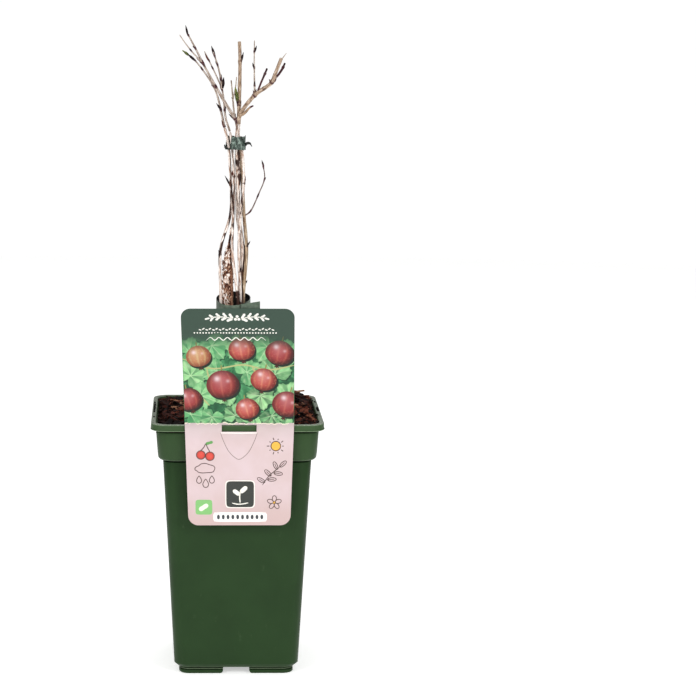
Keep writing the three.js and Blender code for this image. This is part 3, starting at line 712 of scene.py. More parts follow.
def make_pot(settings):
    lower, upper = (
        (lerp(BODY_FOOT_HALF, BODY_TOP_HALF, share), lerp(BODY_FOOT, STEP, share)) for share in (0.33, 0.66)
    )
    outside = [
        (FOOT_HALF - FOOT_WIDTH, FOOT_HEIGHT),
        (FOOT_HALF - FOOT_WIDTH, 0),
        (FOOT_HALF - 0.6, 0),
        (FOOT_HALF, 0.6),
        (FOOT_HALF, FOOT_HEIGHT - 2.2),
        (FOOT_HALF - 0.7, FOOT_HEIGHT - 1.9),
        (FOOT_HALF - 0.7, FOOT_HEIGHT - 1.5),
        (FOOT_HALF, FOOT_HEIGHT - 1.2),
        (FOOT_HALF, FOOT_HEIGHT - 0.8),
        (FOOT_HALF - 0.8, FOOT_HEIGHT - 0.5),
        (FOOT_HALF - 0.8, FOOT_HEIGHT - 0.1),
        (FOOT_HALF + 0.3, FOOT_HEIGHT + 0.1),
        (FOOT_HALF + 1.1, FOOT_HEIGHT + 0.5),
        (BODY_FOOT_HALF, BODY_FOOT),
        lower,
        upper,
        (BODY_TOP_HALF - 0.05, STEP - 0.9),
        (BODY_TOP_HALF - 1.1, STEP - 0.5),
        (BODY_TOP_HALF - 1.1, STEP + 0.5),
        (COLLAR_FOOT_HALF - 1.7, STEP + 0.9),
        (COLLAR_FOOT_HALF - 0.5, STEP + 2.4),
        (COLLAR_FOOT_HALF, COLLAR_FOOT),
        (COLLAR_TOP_HALF - 0.1, LIP_FOOT - 1.9),
        (COLLAR_TOP_HALF - 1.3, LIP_FOOT - 1.4),
        (COLLAR_TOP_HALF - 1.3, LIP_FOOT),
        (RIM_HALF - 0.4, LIP_FOOT),
        (RIM_HALF, LIP_FOOT + 0.4),
        (RIM_HALF, LIP_FOOT + 0.9),
        (RIM_HALF - 0.35, LIP_FOOT + 1.4),
        (RIM_HALF - 0.35, POT_HEIGHT - 0.5),
        (RIM_HALF - 0.75, POT_HEIGHT),
        (COLLAR_TOP_HALF + 0.7, POT_HEIGHT),
        (COLLAR_TOP_HALF + 0.1, POT_HEIGHT - 0.6),
    ]
    bm = bmesh.new()
    square_turned(bm, [(0, FOOT_HEIGHT), *outside, *reversed(INSIDE), (0, FOOT_HEIGHT + 2)], 0.28)
    pot = new_piece(mesh_from("pot_shell", bm), pot_plastic(settings), ["pot"], 35)
    for turn in (0, math.pi / 2):
        cut_away(pot, notch_cutter(turn))
    drains = bmesh.new()
    for column in (-1, 0, 1):
        for row in (-1, 0, 1):
            centre = Matrix.Translation((column * DRAIN_PITCH, row * DRAIN_PITCH, FOOT_HEIGHT + 1))
            bmesh.ops.create_cone(
                drains,
                cap_ends=True,
                segments=28,
                radius1=DRAIN_RADIUS,
                radius2=DRAIN_RADIUS,
                depth=8,
                matrix=centre,
            )
    cut_away(pot, drains)


# ------------------------------------------------------------------ compost


def hollow(x, y):
    """How far a place lies in the hollow at the left of the front wall, where the compost sinks and its chips
    are darker: damp compost and painted shade.
    """
    return smooth(-22, -44, x) * smooth(-20, -44, y)


def bed_height(x, y):
    """The compost's surface: level round the bush, heaped to the walls, most at the right and the back."""
    heap = HEAP["around"] * smooth(SEAT, HEAP_REACH, math.hypot(x, y))
    heap += HEAP["right"] * smooth(SEAT, HEAP_REACH, x) + HEAP["back"] * smooth(SEAT, HEAP_REACH, y)
    away = ((x - CREST["x"]) ** 2 + (y - CREST["y"]) ** 2) / CREST["spread"] ** 2
    height = GROUND + heap + CREST["height"] * math.exp(-away)
    rough = 1.1 * noise.fractal(Vector((x / 7, y / 7, 3.1)), 1.0, 2.0, 4)
    gap = 1.2 * smooth(-47, -57, x) * smooth(-0.4, 0.5, noise.noise(Vector((y / 9, 4.0, 1.0))))
    gap += 2.6 * hollow(x, y)
    edge = smooth(50, 59, max(abs(x), abs(y)))
    return lerp(height + rough, min(height + rough * 0.8, BRIM), edge) - gap


def make_bed():
    """The compost in one mesh: a rough surface with a skirt, and the core that fills the pot under it."""
    bm = bmesh.new()
    bmesh.ops.create_grid(bm, x_segments=110, y_segments=110, size=1.0)
    for vert in bm.verts:
        x, y = vert.co.x, vert.co.y
        reach = max(abs(x), abs(y))
        if reach > 0:
            short = min(abs(x), abs(y)) / reach
            pull = 1 - 0.06 * max(0.0, (short - 0.8) / 0.2) ** 1.6
            x, y = x * BED_HALF * pull, y * BED_HALF * pull
        vert.co = Vector((x, y, bed_height(x, y)))
    for vert in extruded(bm):
        vert.co = Vector((vert.co.x * 0.972, vert.co.y * 0.972, BED_FOOT))
    core, core_top = bmesh.new(), BED_FOOT + 6
    body = [(half - 0.45, height + 0.3) for half, height in INSIDE[:-1]]
    square_turned(core, [(0, body[0][1]), *body, (COLLAR_TOP_HALF - WALL - 1.0, core_top), (0, core_top)])
    outwards(core)
    lump = bpy.data.meshes.new("core")
    core.to_mesh(lump)
    core.free()
    bm.from_mesh(lump)
    bpy.data.meshes.remove(lump)
    new_piece(mesh_from("compost_bed", bm), compost_crumb(), ["compost"])


# Clods of soil left on the rim: x, y, and half their width, length and height.
RIM_SOIL = (
    (-63.1, 27, 0.9, 2.2, 0.9),
    (-62.9, 17, 1.1, 3.0, 1.3),
    (-63.0, 10, 1.1, 3.2, 1.5),
    (-62.9, 3, 1.2, 3.0, 1.4),
    (-63.0, -4, 1.1, 3.0, 1.2),
    (-63.0, -11, 1.0, 2.4, 1.0),
    (-62.7, -32, 0.8, 1.6, 0.7),
    (63.0, 7, 0.9, 2.4, 0.9),
    (62.9, 0, 1.2, 3.0, 1.5),
    (63.0, -6, 1.1, 2.6, 1.2),
    (62.8, 31, 0.8, 1.8, 0.8),
    (-40, 62.9, 2.0, 0.9, 0.7),
    (22, 63.0, 2.2, 1.0, 0.8),
)

# The loose bark's shapes: how many of each, and its length, width, thickness and raggedness.
SHARDS = ((4, 9, 4.2, 1.5, 0.55), (4, 6.5, 5, 1.8, 0.6), (3, 13, 1.7, 1.1, 0.5))
CRUMB_SHAPES = 4
FIRST_SPLINTER, FIRST_CRUMB = 8, 11
CORNER_START, CORNER_CENTRE, CORNER_RADIUS = 50, 49.2, 10  # of the inner wall, where no chip falls
OLD_WOOD = (-5.4, 0.4, 9.5)  # the stump's x and y, and how far chips keep from it
STEM_CLEAR = 4.2


def loose_shapes(draw):
    """A few chips, splinters and crumbs, each a little different."""

    def shard(length, width, thick, rough):
        def shape(bm):
            bmesh.ops.create_cube(bm, size=2.0)
            bmesh.ops.subdivide_edges(bm, edges=bm.edges[:], cuts=1, use_grid_fill=True)
            for vert in bm.verts:
                jitter = Vector((draw() - 0.5, draw() - 0.5, draw() - 0.5)) * rough
                vert.co.y *= 1 - 0.45 * abs(vert.co.x) * draw()
                vert.co += jitter
            bmesh.ops.scale(bm, vec=(length / 2, width / 2, thick / 2), verts=bm.verts)

        return shape

    def crumb(bm):
        bmesh.ops.create_icosphere(bm, subdivisions=1, radius=1.0)
        for vert in bm.verts:
            vert.co *= 0.75 + 0.5 * draw()

    shapes = [prototype(shard(*sizes)) for count, *sizes in SHARDS for _ in range(count)]
    return shapes + [prototype(crumb) for _ in range(CRUMB_SHAPES)]


def bare(x, y, stems):
    """Whether a place is in the wall's rounded corner or on a stem, where no chip falls."""
    in_corner = abs(x) > CORNER_START and abs(y) > CORNER_START
    if in_corner and math.hypot(abs(x) - CORNER_CENTRE, abs(y) - CORNER_CENTRE) > CORNER_RADIUS:
        return True
    return any(math.hypot(x - sx, y - sy) < gap for sx, sy, gap in stems)


def make_compost(settings):
    """The compost with bark chips, splinters and crumbs strewn on it, and clods on the rim."""
    make_bed()
    draw = seeded(settings.seed)
    shapes = loose_shapes(draw)
    stems = [(*stem["places"][0], STEM_CLEAR) for stem in STEMS.values()] + [OLD_WOOD]
    placements = []
    kinds = (
        (settings.chips, 0, FIRST_SPLINTER, 5.4),
        (settings.splinters, FIRST_SPLINTER, FIRST_CRUMB, 7.6),
        (settings.crumbs, FIRST_CRUMB, len(shapes), 1.3),
    )
    for count, first, last, half in kinds:
        is_crumb = first == FIRST_CRUMB
        for _ in range(count):
            x = (2 * draw() - 1) * SCATTER_HALF
            y = (2 * draw() - 1) * SCATTER_HALF
            if bare(x, y, stems):
                continue
            which = first + int(draw() * (last - first))
            size = 0.5 + 1.0 * draw() ** 2 if is_crumb else 0.45 + 0.75 * draw() ** 1.6
            if max(abs(x), abs(y)) > SCATTER_HALF - 4:
                size *= 0.7
            edge = CHIP_EDGE - half * size
            x, y = clamp(x, -edge, edge), clamp(y, -edge, edge)
            flat = lerp(1, 0.4, smooth(30, 48, y))
            tilt = flat * (draw() - 0.5) * (3 if is_crumb else 1.1)
            turn = Matrix.Rotation(draw() * math.tau, 4, "Z") @ Matrix.Rotation(tilt, 4, "X")
            turn = turn @ Matrix.Rotation(flat * (draw() - 0.5) * 0.9, 4, "Y")
            up = bed_height(x, y) + 0.5 * size * (0.2 + draw())
            matrix = Matrix.Translation((x, y, up)) @ turn @ Matrix.Scale(size, 4)
            # Chips are darker in the front-left hollow and near the left wall: damp compost there, and
            # painted shade.
            tone = draw() ** 1.25 * (1 - 0.7 * hollow(x, y)) * (1 - 0.35 * smooth(-45, -58, x))
            placements.append((which, matrix, tone))
    for x, y, wide, long, tall in RIM_SOIL:
        turn = Matrix.Rotation((draw() - 0.5) * 0.24, 4, "Z") @ Matrix.Diagonal((wide, long, tall, 1))
        which = FIRST_CRUMB + int(draw() * CRUMB_SHAPES)
        placements.append((which, Matrix.Translation((x, y, POT_HEIGHT + 0.2 * tall)) @ turn, 0.12 * draw()))
    new_piece(stamped("bark_chips", shapes, placements), bark_chip(), sharp=25)


# ------------------------------------------------------------------ the bush's limbs

# Each stem's [x, y] at the ground, loop, bulge, waist, upper and tie heights of the bundle.
STEMS = {
    "stem_left": {
        "places": [(-15.4, -2), (-12.2, -2.1), (-12.4, -0.8), (-4.9, 1.5), (-4.9, 0.9), (-6.8, 0.3)],
        "radius": (1.6, 1.25),
        "onward": (-9.6, 2, 414),
    },
    "stem_middle": {
        "places": [(1.5, -8.2), (0.9, -4.5), (-3.5, -3.1), (-2.9, -2.2), (-2.4, -1.7), (-4.2, -2.1)],
        "radius": (1.6, 1.15),
        "onward": (-5.6, -0.8, 411),
    },
    "stem_main": {
        "places": [(5.2, 5.6), (2.6, 2.4), (4.2, 1.1), (0.7, 1.6), (0.7, 1.2), (-0.2, 0.2)],
        "radius": (2.1, 2.0),
        "onward": (0.5, 0, FORK),
    },
    "stem_crossing": {
        "places": [(7.4, -4.8), (3.4, -1.6), (1.5, -1.6), (2.7, -2.5), (5, -1.1), (3.5, -0.8)],
        "radius": (1.6, 1.25),
        "onward": (3.2, -0.6, 406),
    },
    "stem_right": {
        "places": [(12.4, 1.6), (5.1, -0.4), (7.4, 0.2), (5.2, 0.3), (4, 3.6), (1.9, 4.4)],
        "radius": (1.6, 1.1),
        "onward": (0.4, 4.7, 410),
    },
}

TRUNK = {
    "route": (
        (-5.4, 0.4, GROUND), (-5.8, 0, 235), (-6.6, 0, 281), (-6.5, 0.4, 312), (-5.7, 1.2, 326),
        (-2.6, 3.9, 346),
    ),
    "foot": 4.9,
    "shoulder": 4.0,
    "tip": 0.9,
    "flare": 2.6,
}

# The leaders: a bough up to the share where its mass of twigs begins, and the mass's stem above it.
LEADERS = {
    "left": {
        "route": (
            (0.2, 0, 417.5), (-9.3, -4.5, 432.5), (-23.5, -10.5, 457.1), (-33.1, -14, 475.6),
            (-37.7, -15.5, 483.9),
        ),
        "radius": (1.55, 0.65),
        "enters": 0.24,
    },
    "upright": {
        "route": ((0.9, 0.4, 419.5), (1.7, 5, 446), (2, 10, 464.5), (1.6, 14, 478.1)),
        "radius": (1.45, 1.3),
        "enters": 0.25,
    },
    "right": {
        "route": (
            (0.6, -0.2, 417), (1.8, -1.2, 423.5), (12.9, -7.5, 438.7), (24.9, -12.5, 447.9),
            (27.8, -14, 454.8), (32.2, -16, 466.1),
        ),
        "radius": (1.85, 1.5),
        "enters": 0.36,
    },
}

# The masses: a stem of its own or a leader's upper part, and the shoots that leave it at a share of it.
MASSES = {
    "twigs_left_top": {
        "leader": "left",
        "seed": 21,
        "shoots": [
            {"share": 0.6, "elbow": (-34.6, -19, 469.5), "tip": (-43.6, -25.9, 483), "radius": (0.75, 0.45)},
        ],
    },
    "twigs_left_low": {
        "route": (
            (-9.7, 2.06, 414.3), (-15.3, 9, 438.1), (-19.1, 12.5, 446.5), (-32, 21, 463.9),
            (-36.7, 23, 467.7),
        ),
        "radius": (1.15, 0.6),
        "seed": 5,
        "shoots": [],
    },
    "twigs_middle": {
        "route": (
            (-5.65, -0.75, 411.3), (-8.7, 0.8, 420.4), (-11.5, 6, 442.1), (-15.3, 9.5, 451.2),
            (-24.9, 18, 471),
        ),
        "radius": (1.1, 0.5),
        "seed": 8,
        "shoots": [
            {"share": 0.5, "elbow": (-12.2, 3.6, 454), "tip": (-18.5, -7.8, 470.6), "radius": (0.95, 0.7)},
        ],
    },
    "twigs_upright": {"leader": "upright", "seed": 3, "shoots": []},
    "twigs_right": {
        "leader": "right",
        "seed": 14,
        "shoots": [
            {"share": 0.1, "elbow": (12.2, 0.5, 461), "tip": (12.9, 10, 479.3), "radius": (0.85, 0.5)},
            {"share": 0.16, "elbow": (17.8, -14, 450), "tip": (20.5, -18.6, 455.8), "radius": (0.7, 0.8)},
            {"share": 0.55, "elbow": (32, -6.5, 454.6), "tip": (34.8, 1.4, 460.3), "radius": (0.75, 0.8)},
            {"share": 0.96, "elbow": (33.6, -16.6, 466.6), "tip": (36, -18, 470.2), "radius": (0.5, 0.3)},
        ],
    },
    "twigs_back": {
        "route": ((0.3, 4.75, 410.3), (-2.3, 12, 425.3), (-3.3, 22, 437.9), (-4.2, 33, 449)),
        "radius": (1.05, 0.6),
        "seed": 17,
        "shoots": [{"share": 0.6, "elbow": (-0.6, 25, 443), "tip": (0, 32, 451.5), "radius": (0.7, 0.5)}],
    },
    "twigs_side": {
        "route": (
            (5.9, 0.2, 347.3), (10.1, -3, 350.9), (16.5, -6, 365), (20.5, -9, 376.4),
            (18.9, -12.6, 388),
        ),
        "radius": (0.6, 0.4),
        "seed": 30,
        "shoots": [],
    },
}

# How much of the solids' radius each limb's bark keeps.
GIRTH = {
    "stem_left": 0.8,
    "stem_middle": 0.8,
    "stem_main": 0.9,
    "stem_crossing": 0.8,
    "stem_right": 1.05,
    "left": 0.88,
    "upright": 0.98,
    "right": 0.88,
    "middle": 0.8,
    "left_low": 0.8,
    "side": 0.95,
    "right_fork_2": 1.0,
    "right_fork_3": 1.15,
}
THIN = 0.8  # the same for every other twig

# How brown a limb's bark is, where it isn't pale.
TANNED = {"right": 0.75, "upright": 0.85, "curl": 1.0, "back": 0.3, "stem_right": 0.85}

# How clean a limb's bark is, where it isn't quite: 0 is dead bark.
DULLED = {
    "side": 0.36,
    "left": 0.58,
    "left_low": 0.6,
    "middle": 0.6,
    "middle_fork": 0.58,
    "left_top_fork": 0.62,
    "right_fork_1": 0.85,
}

# The share of its length from which a spur is dark.
DARKENED = {"right_fork_2": 0.08, "right_fork_3": 0.2, "curl": 0.78}

# Buds in their places: limb, foot, tip, thickness and kind.
PLACED_BUDS = (
    ("left", (-37.6, -15.4, 483.4), (-39.3, -15.6, 490.8), 1.7, "dark"),
    ("left", (-26.7, -11.5, 461.5), (-30.1, -11.5, 465.7), 1.4, "dark"),
    ("left", (-28.2, -11.8, 462.7), (-31.8, -11.8, 466.5), 1.2, "red"),
    ("left", (-4.7, -1.2, 419.7), (-7.1, -1.2, 424.8), 1.4, "dark"),
    ("left", (-0.6, 0, 414.9), (-2.3, 0, 420), 1.7, "red"),
    ("left_low", (-32.4, 21.2, 464.2), (-38.2, 21.2, 469.3), 2.1, "dark"),
    ("left_low", (-36.8, 23, 467.8), (-42, 23, 471.8), 2.1, "green"),
    ("left_low", (-12.5, 5.7, 427.3), (-16.3, 5.7, 432.7), 1.7, "dark"),
    ("left_low", (-10.7, 2.1, 411.3), (-12.2, 2.1, 420), 1.6, "red"),
    ("middle", (-22, 15, 463.9), (-24.9, 15, 469.7), 1.4, "red"),
    ("middle", (-11.0, 5.8, 443.6), (-10.2, 5.6, 452.3), 3.0, "dark"),
    ("middle", (-11.2, 5.7, 445), (-12.7, 5.7, 451.3), 1.5, "red"),
    ("middle", (-7.9, 2.2, 427.2), (-9.1, 2.2, 432), 1.2, "dark"),
    ("middle_fork", (-17.5, -6.2, 468.0), (-20.1, -6.2, 475.7), 2.1, "dark"),
    ("middle_fork", (-12, 3.8, 450.4), (-13.8, 3.8, 456.4), 1.9, "dark"),
    ("middle_fork", (-16.3, -3.2, 460.4), (-17.0, -3.2, 464.0), 1.1, "dark"),
    ("upright", (-0.6, 2.6, 433.3), (-1.6, 2.6, 444.3), 3.3, "green"),
    ("upright", (0.4, 2.2, 430.8), (-0.7, 2.2, 436.8), 1.7, "dark"),
    ("upright", (3.3, 9.7, 463.6), (4.8, 9.7, 471.1), 1.8, "dark"),
    ("right_fork_1", (13.1, 5.7, 470.7), (14.6, 5.7, 475.9), 1.6, "dark"),
    ("right_fork_1", (12.3, 0.4, 458.8), (11, 0.4, 463.1), 1.4, "dark"),
    ("right_fork_1", (12.6, -4.9, 445.7), (12.9, -4.9, 449.8), 1.3, "dark"),
    ("right", (12.9, -7.5, 437.9), (11.2, -7.5, 443), 1.4, "red"),
    ("right", (12.9, -7.5, 438.7), (14.1, -7.5, 443.7), 1.3, "red"),
    ("right_fork_2", (20.0, -17.7, 454.8), (21.6, -18.9, 458.9), 1.5, "spur"),
    ("right_fork_3", (34.3, 0.1, 459.4), (35.8, 2.2, 462.6), 1.5, "spur"),
    ("right", (26.6, -12.8, 448), (29.2, -12.8, 451.3), 1.8, "red"),
    ("right", (24.9, -12.6, 448.3), (22.9, -12.6, 451), 1.5, "red"),
    ("stem_left", (-6.9, 1, 370.7), (-9.7, 1, 378.4), 1.5, "dark"),
    ("stem_left", (-12.7, -1, 317.8), (-14.2, -1, 321.6), 1.5, "dark"),
    ("stem_middle", (-4.2, -2.0, 377.8), (-4.0, -3.4, 381.9), 1.7, "red"),
    ("stem_crossing", (5.4, -1.1, 372.2), (6.5, -1.1, 377.8), 1.5, "red"),
    ("stem_crossing", (2.9, -2.0, 333.8), (3.1, -3.2, 337.2), 1.4, "dark"),
    ("side", (10, -2.9, 350.5), (10.4, -2.9, 352.9), 0.9, "dark"),
    ("stem_right", (8.6, 0.2, 324.6), (10.6, 0.2, 328.6), 1.2, "dark"),
    ("stem_right", (6.7, -0.4, 295.3), (8.4, -0.4, 298.6), 1.3, "dark"),
    ("stem_crossing", (3.0, -3.3, 305.0), (3.4, -4.0, 308.8), 1.2, "dark"),
    ("side", (20, -11.7, 385.3), (18, -11.7, 390.9), 1.5, "dark"),
    ("side", (20.8, -8.7, 375.1), (21.7, -8.7, 377.8), 0.9, "dark"),
    ("side", (16, -5.6, 362.7), (16.8, -5.6, 366.2), 1.0, "dark"),
)

# Dark streaks on the clump's front, from dead or cracked bark and from painted shadow where stems crowd: two
# (x, z) ends, half a width, and how dark.
SCARS_AND_SHADOWS = (
    ((-5.9, 311.9), (-5.6, 340.2), 1.0, 0.8),
    ((-5.6, 340.2), (-6.1, 362.3), 0.8, 0.75),
    ((-1.7, 321.1), (-2.1, 345.5), 0.7, 0.8),
    ((-2.6, 321.3), (-2.6, 332.7), 0.6, 0.6),
    ((1.0, 397.6), (1.5, 388.9), 0.7, 0.95),
    ((-0.3, 389.3), (1.2, 382.1), 1.4, 0.8),
    ((1.2, 383.0), (1.6, 378.3), 0.7, 0.7),
    ((1.6, 378.3), (2.2, 371.1), 1.0, 0.95),
    ((-5.2, 374.1), (-3.7, 362.4), 0.6, 0.95),
    ((-3.7, 362.4), (-2.0, 348.9), 0.6, 0.9),
    ((-6.0, 360.9), (-5.5, 346.4), 0.8, 0.9),
    ((3.1, 367.0), (3.6, 357.1), 0.7, 0.85),
    ((4.2, 356.4), (2.7, 349.5), 0.5, 0.85),
    ((-1.6, 371.7), (0.7, 353.7), 0.4, 0.6),
    ((-5.5, 348.9), (-5.3, 336.5), 0.8, 0.7),
    ((-1.8, 349.5), (-1.4, 342.7), 0.7, 0.8),
    ((5.0, 345.7), (5.8, 335.0), 0.6, 0.6),
    ((-4.2, 397.2), (-2.1, 383.6), 0.4, 0.7),
    ((-6.3, 336.5), (-13.4, 319.7), 1.1, 0.9),
    ((-13.4, 319.7), (-14.3, 309.0), 0.7, 0.6),
    ((-5.1, 395.0), (-4.7, 350.0), 0.4, 0.65),
    ((-1.9, 396.0), (-2.4, 352.0), 0.4, 0.65),
    ((7.9, 336.6), (8.3, 309.0), 0.6, 0.4),
    ((-2.3, 341.5), (-2.3, 337.5), 1.0, 0.7),
    ((-0.5, 412.0), (0.4, 419.0), 1.3, 0.5),
    ((-3.0, 398.0), (-1.6, 391.0), 0.7, 0.6),
    ((0.2, 352.0), (2.4, 346.0), 0.6, 0.5),
    ((0.3, 289.5), (0.9, 277.0), 1.9, 1.0),
)

# Painted shadow streaks fade out past their ends as the scars do.
SCAR_END = 2.0  # how far past its ends a scar fades out
SPACED = 6.0  # a bud set by the rule keeps at least this far from one in its place


class Limb:
    """A part of a route with its radius from one end to the other, and its buds."""

    def __init__(self, name, route, radius, start=0.0, end=1.0, seed=1, forks=False):
        self.name = name
        self.route = route
        girth = GIRTH.get(name, THIN)
        self.radius = (radius[0] * girth, radius[1] * girth)
        self.start = start
        self.end = end
        self.seed = seed
        self.forks = forks
        self.buds = []

    def share(self, along):
        return lerp(self.start, self.end, along)

    def along(self, share):
        return (share - self.start) / (self.end - self.start)

    def thickness(self, along):
        return lerp(*self.radius, clamp(along))

    @property
    def length(self):
        return self.route.length * (self.end - self.start)

    def near(self, point):
        """How far a point is from the bark."""
        away = np.linalg.norm(self.route.points - np.array(point), axis=1).min()
        return float(away) - max(self.radius)

    def closest(self, point):
        """The share of the whole route nearest to a point, and how far that is outside this limb's part."""
        away = np.linalg.norm(self.route.points - np.array(point), axis=1)
        share = float(self.route.lengths[int(away.argmin())]) / self.route.length
        return share, max(self.start - share, share - self.end, 0.0)

    def set_bud(self, foot, tip, thick, kind):
        """A bud rooted in the bark nearest to its foot: (share, foot, direction, length, thickness, kind)."""
        share = clamp(self.closest(foot)[0], self.start, self.end)
        centre = self.route.at(share)
        reach = Vector(foot) - centre
        bark = 0.7 * self.thickness(self.along(share))
        root = centre + reach * min(1.0, bark / max(reach.length, 1e-6))
        way = Vector(tip) - root
        self.buds.append((share, root, way.normalized(), way.length, thick, kind))


def grown():
    """All limbs of the bush by kind, grown by the solids' rule, with their buds."""
    stems = []
    for seed, (name, stem) in enumerate(STEMS.items()):
        points = [(x, y, z) for (x, y), z in zip(stem["places"], STATIONS)] + [stem["onward"]]
        stems.append(Limb(name, through(*points), stem["radius"], seed=40 + seed))
    leaders = {name: (through(*leader["route"]), leader) for name, leader in LEADERS.items()}
    boughs = []
    for name, (route, leader) in leaders.items():
        high = lerp(*leader["radius"], leader["enters"])
        boughs.append(Limb(name, route, (leader["radius"][0], high), 0.0, leader["enters"], 60 + len(name)))
    families = []
    for name, mass in MASSES.items():
        short = name.removeprefix("twigs_")
        if "leader" in mass:
            route, leader = leaders[mass["leader"]]
            start = leader["enters"]
            high = lerp(*leader["radius"], start)
            stem = Limb(mass["leader"], route, (high, leader["radius"][1]), start, 1.0, mass["seed"])
        else:
            stem = Limb(short, through(*mass["route"]), mass["radius"], seed=mass["seed"])
        family = [stem]
        for number, shoot in enumerate(mass["shoots"]):
            root = stem.route.at(stem.share(shoot["share"]))
            route = arch(root, shoot["elbow"], shoot["tip"])
            place = f"{short}_fork_{number + 1}" if len(mass["shoots"]) > 1 else f"{short}_fork"
            family.append(Limb(place, route, shoot["radius"], seed=mass["seed"] + number + 1, forks=True))
        families.append(family)
    twigs = [twig for family in families for twig in family]
    for limb_name, *bud in PLACED_BUDS:
        limbs = [limb for limb in stems + boughs + twigs if limb.name == limb_name]
        if not limbs:
            raise RuntimeError(f"no limb is called {limb_name}")
        min(limbs, key=lambda limb: limb.closest(bud[0])[1]).set_bud(*bud)
    for family in families:
        reach = np.concatenate([twig.route.points for twig in family])
        low, high = reach.min(0) - 3, reach.max(0) + 3
        draw = seeded(family[0].seed)
        for twig in family:
            ruled_buds(twig, draw, low, high, stems)
    return stems, boughs, twigs


def ruled_buds(twig, draw, low, high, stems):
    """Buds a golden turn apart, but none outside the reach, on a stem or close to another."""
    taken = [bud[0] for bud in twig.buds]
    count = int(twig.length / SPACING)
    turn = 360 * draw()
    for index in range(1, count):
        turn += GOLDEN_TURN
        share = twig.share((index + 0.5 * (draw() - 0.5)) / count)
        length = 1.7 + 1.1 * draw()
        tangent = twig.route.tangent(share)
        way = sideways(tangent, turn, 20)
        side = sideways(tangent, turn, 90)
        foot = twig.route.at(share) + side * twig.thickness(twig.along(share)) * 0.7
        tip = foot + way * length
        inside = all(low[k] <= tip[k] <= high[k] for k in range(3))
        clear = all(stem.near(tip) > 0.9 for stem in stems)
        crowded = any(abs(other - share) * twig.route.length < SPACED for other in taken)
        if inside and clear and not crowded:
            twig.buds.append((share, foot, way, length, 0.95, "dark"))


def scar_and_shadow_depth(point):
    """How dark the bark is at a point, from the scars and painted shadows near it on the clump's front."""
    deepest = 0.0
    for (x1, z1), (x2, z2), half, depth in SCARS_AND_SHADOWS:
        over = max(0.0, point.z - max(z1, z2), min(z1, z2) - point.z) / SCAR_END
        if over <= 1:
            half *= 1.05 + 0.9 * noise.noise(Vector((x1, point.z / 3.1, 0.5))) + 0.6 * grain(point, 1.2, 3)
            centre = lerp(x1, x2, clamp((point.z - z1) / (z2 - z1)))
            away = abs(point.x - centre) / max(half, 0.05)
            deepest = max(deepest, depth * smooth(1.4, 0.8, away) * (1 - over))
    return deepest


def swept(bm, limb, sides, pitch, surface, lead=0.0):
    """Grows one limb's bark: surface(centre, out, along, angle) gives its radius and tone."""
    tone, tan = layer(bm, "tone"), layer(bm, "tan")
    uv = bm.loops.layers.uv.verify()
    start = max(0.0, limb.start - lead / limb.route.length)
    rows = max(3, round((limb.end - start) * limb.route.length / pitch))
    made = bmesh.ops.create_grid(bm, x_segments=sides, y_segments=rows, size=1.0, calc_uvs=True)["verts"]
    rings, side = [], Vector((1, 0, 0))
    for row in range(rows + 1):
        share = lerp(start, limb.end, row / rows)
        tangent = limb.route.tangent(share)
        side = square_to(tangent, side)
        rings.append((limb.route.at(share), side.copy(), tangent.cross(side), share))
    for vert in made:
        angle = (vert.co.x + 1) / 2 * math.tau
        row = round((vert.co.y + 1) / 2 * rows)
        centre, side, over, share = rings[row]
        out = side * math.cos(angle) + over * math.sin(angle)
        radius, vert[tone] = surface(centre, out, limb.along(share), angle)
        vert[tan] = TANNED.get(limb.name, 0.0)
        vert.co = centre + out * radius
    faces = {face for vert in made for face in vert.link_faces}
    around = math.tau * max(limb.radius)
    offset = limb.seed * 17.3
    for face in faces:
        for loop in face.loops:
            u, v = loop[uv].uv
            loop[uv].uv = ((u * around + offset) * MM, (v * limb.length + offset) * MM)
    bmesh.ops.remove_doubles(bm, verts=made, dist=1e-5)
    open_edges = [edge for face in faces if face.is_valid for edge in face.edges if edge.is_boundary]
    bmesh.ops.holes_fill(bm, edges=list(set(open_edges)), sides=0)


def limb_surface(limb, ribs, swell=0.3, collar=0.0, end_round=True, others=()):
    """The bark of a stem or twig: swollen at its buds, with fine ridges, dark scars, and painted shade where
    stems crowd and in the crevices between them.
    """
    nodes = [(limb.along(bud[0]), bud[4], bud[1]) for bud in limb.buds]
    dark_from = DARKENED.get(limb.name, 2.0)
    clean = DULLED.get(limb.name, 1.0)

    def surface(centre, out, along, angle):
        radius = limb.thickness(along)
        point = centre + out * radius
        tone = clean - 0.95 * smooth(dark_from - 0.05, dark_from + 0.1, along)
        for node, thick, foot in nodes:
            away = (along - node) * limb.length
            if abs(away) < 6:
                radius += swell * min(1.0, thick / 1.6) * math.exp(-((away / 1.4) ** 2))
                patch = (point - foot).length / (0.9 + 0.6 * thick)
                tone -= 0.75 * math.exp(-patch * patch) * (0.7 + 0.5 * grain(point, 1.2))
                tone -= 0.35 * math.exp(-(((away + 0.4) / 0.45) ** 2))
        radius *= 1 + ribs * grain(point, 1.1, 6) + 0.5 * ribs * math.sin(5 * angle + 0.02 * point.z)
        if collar:
            radius += collar * math.exp(-max(along, 0.0) * limb.length / 1.3)
        left = (1 - along) * limb.length
        if end_round and left < radius:
            radius *= max(0.25, math.sqrt(max(0.0, 1 - (1 - left / radius) ** 2)))
        # Painted shade in the crevices: bark close to another stem is painted darker.
        for other in others:
            tone -= 0.95 * smooth(1.5, 0.1, other.near(point))
        return radius, clamp(tone - scar_and_shadow_depth(point))

    return surface


def trunk_radius(along):
    flare = TRUNK["flare"] * math.exp(-along / 0.045)
    thick = lerp(TRUNK["foot"], TRUNK["shoulder"], min(along / 0.75, 1))
    thin = lerp(2.0, TRUNK["tip"], along)
    return lerp(thick, thin, smooth(0.77, 0.88, along)) + flare


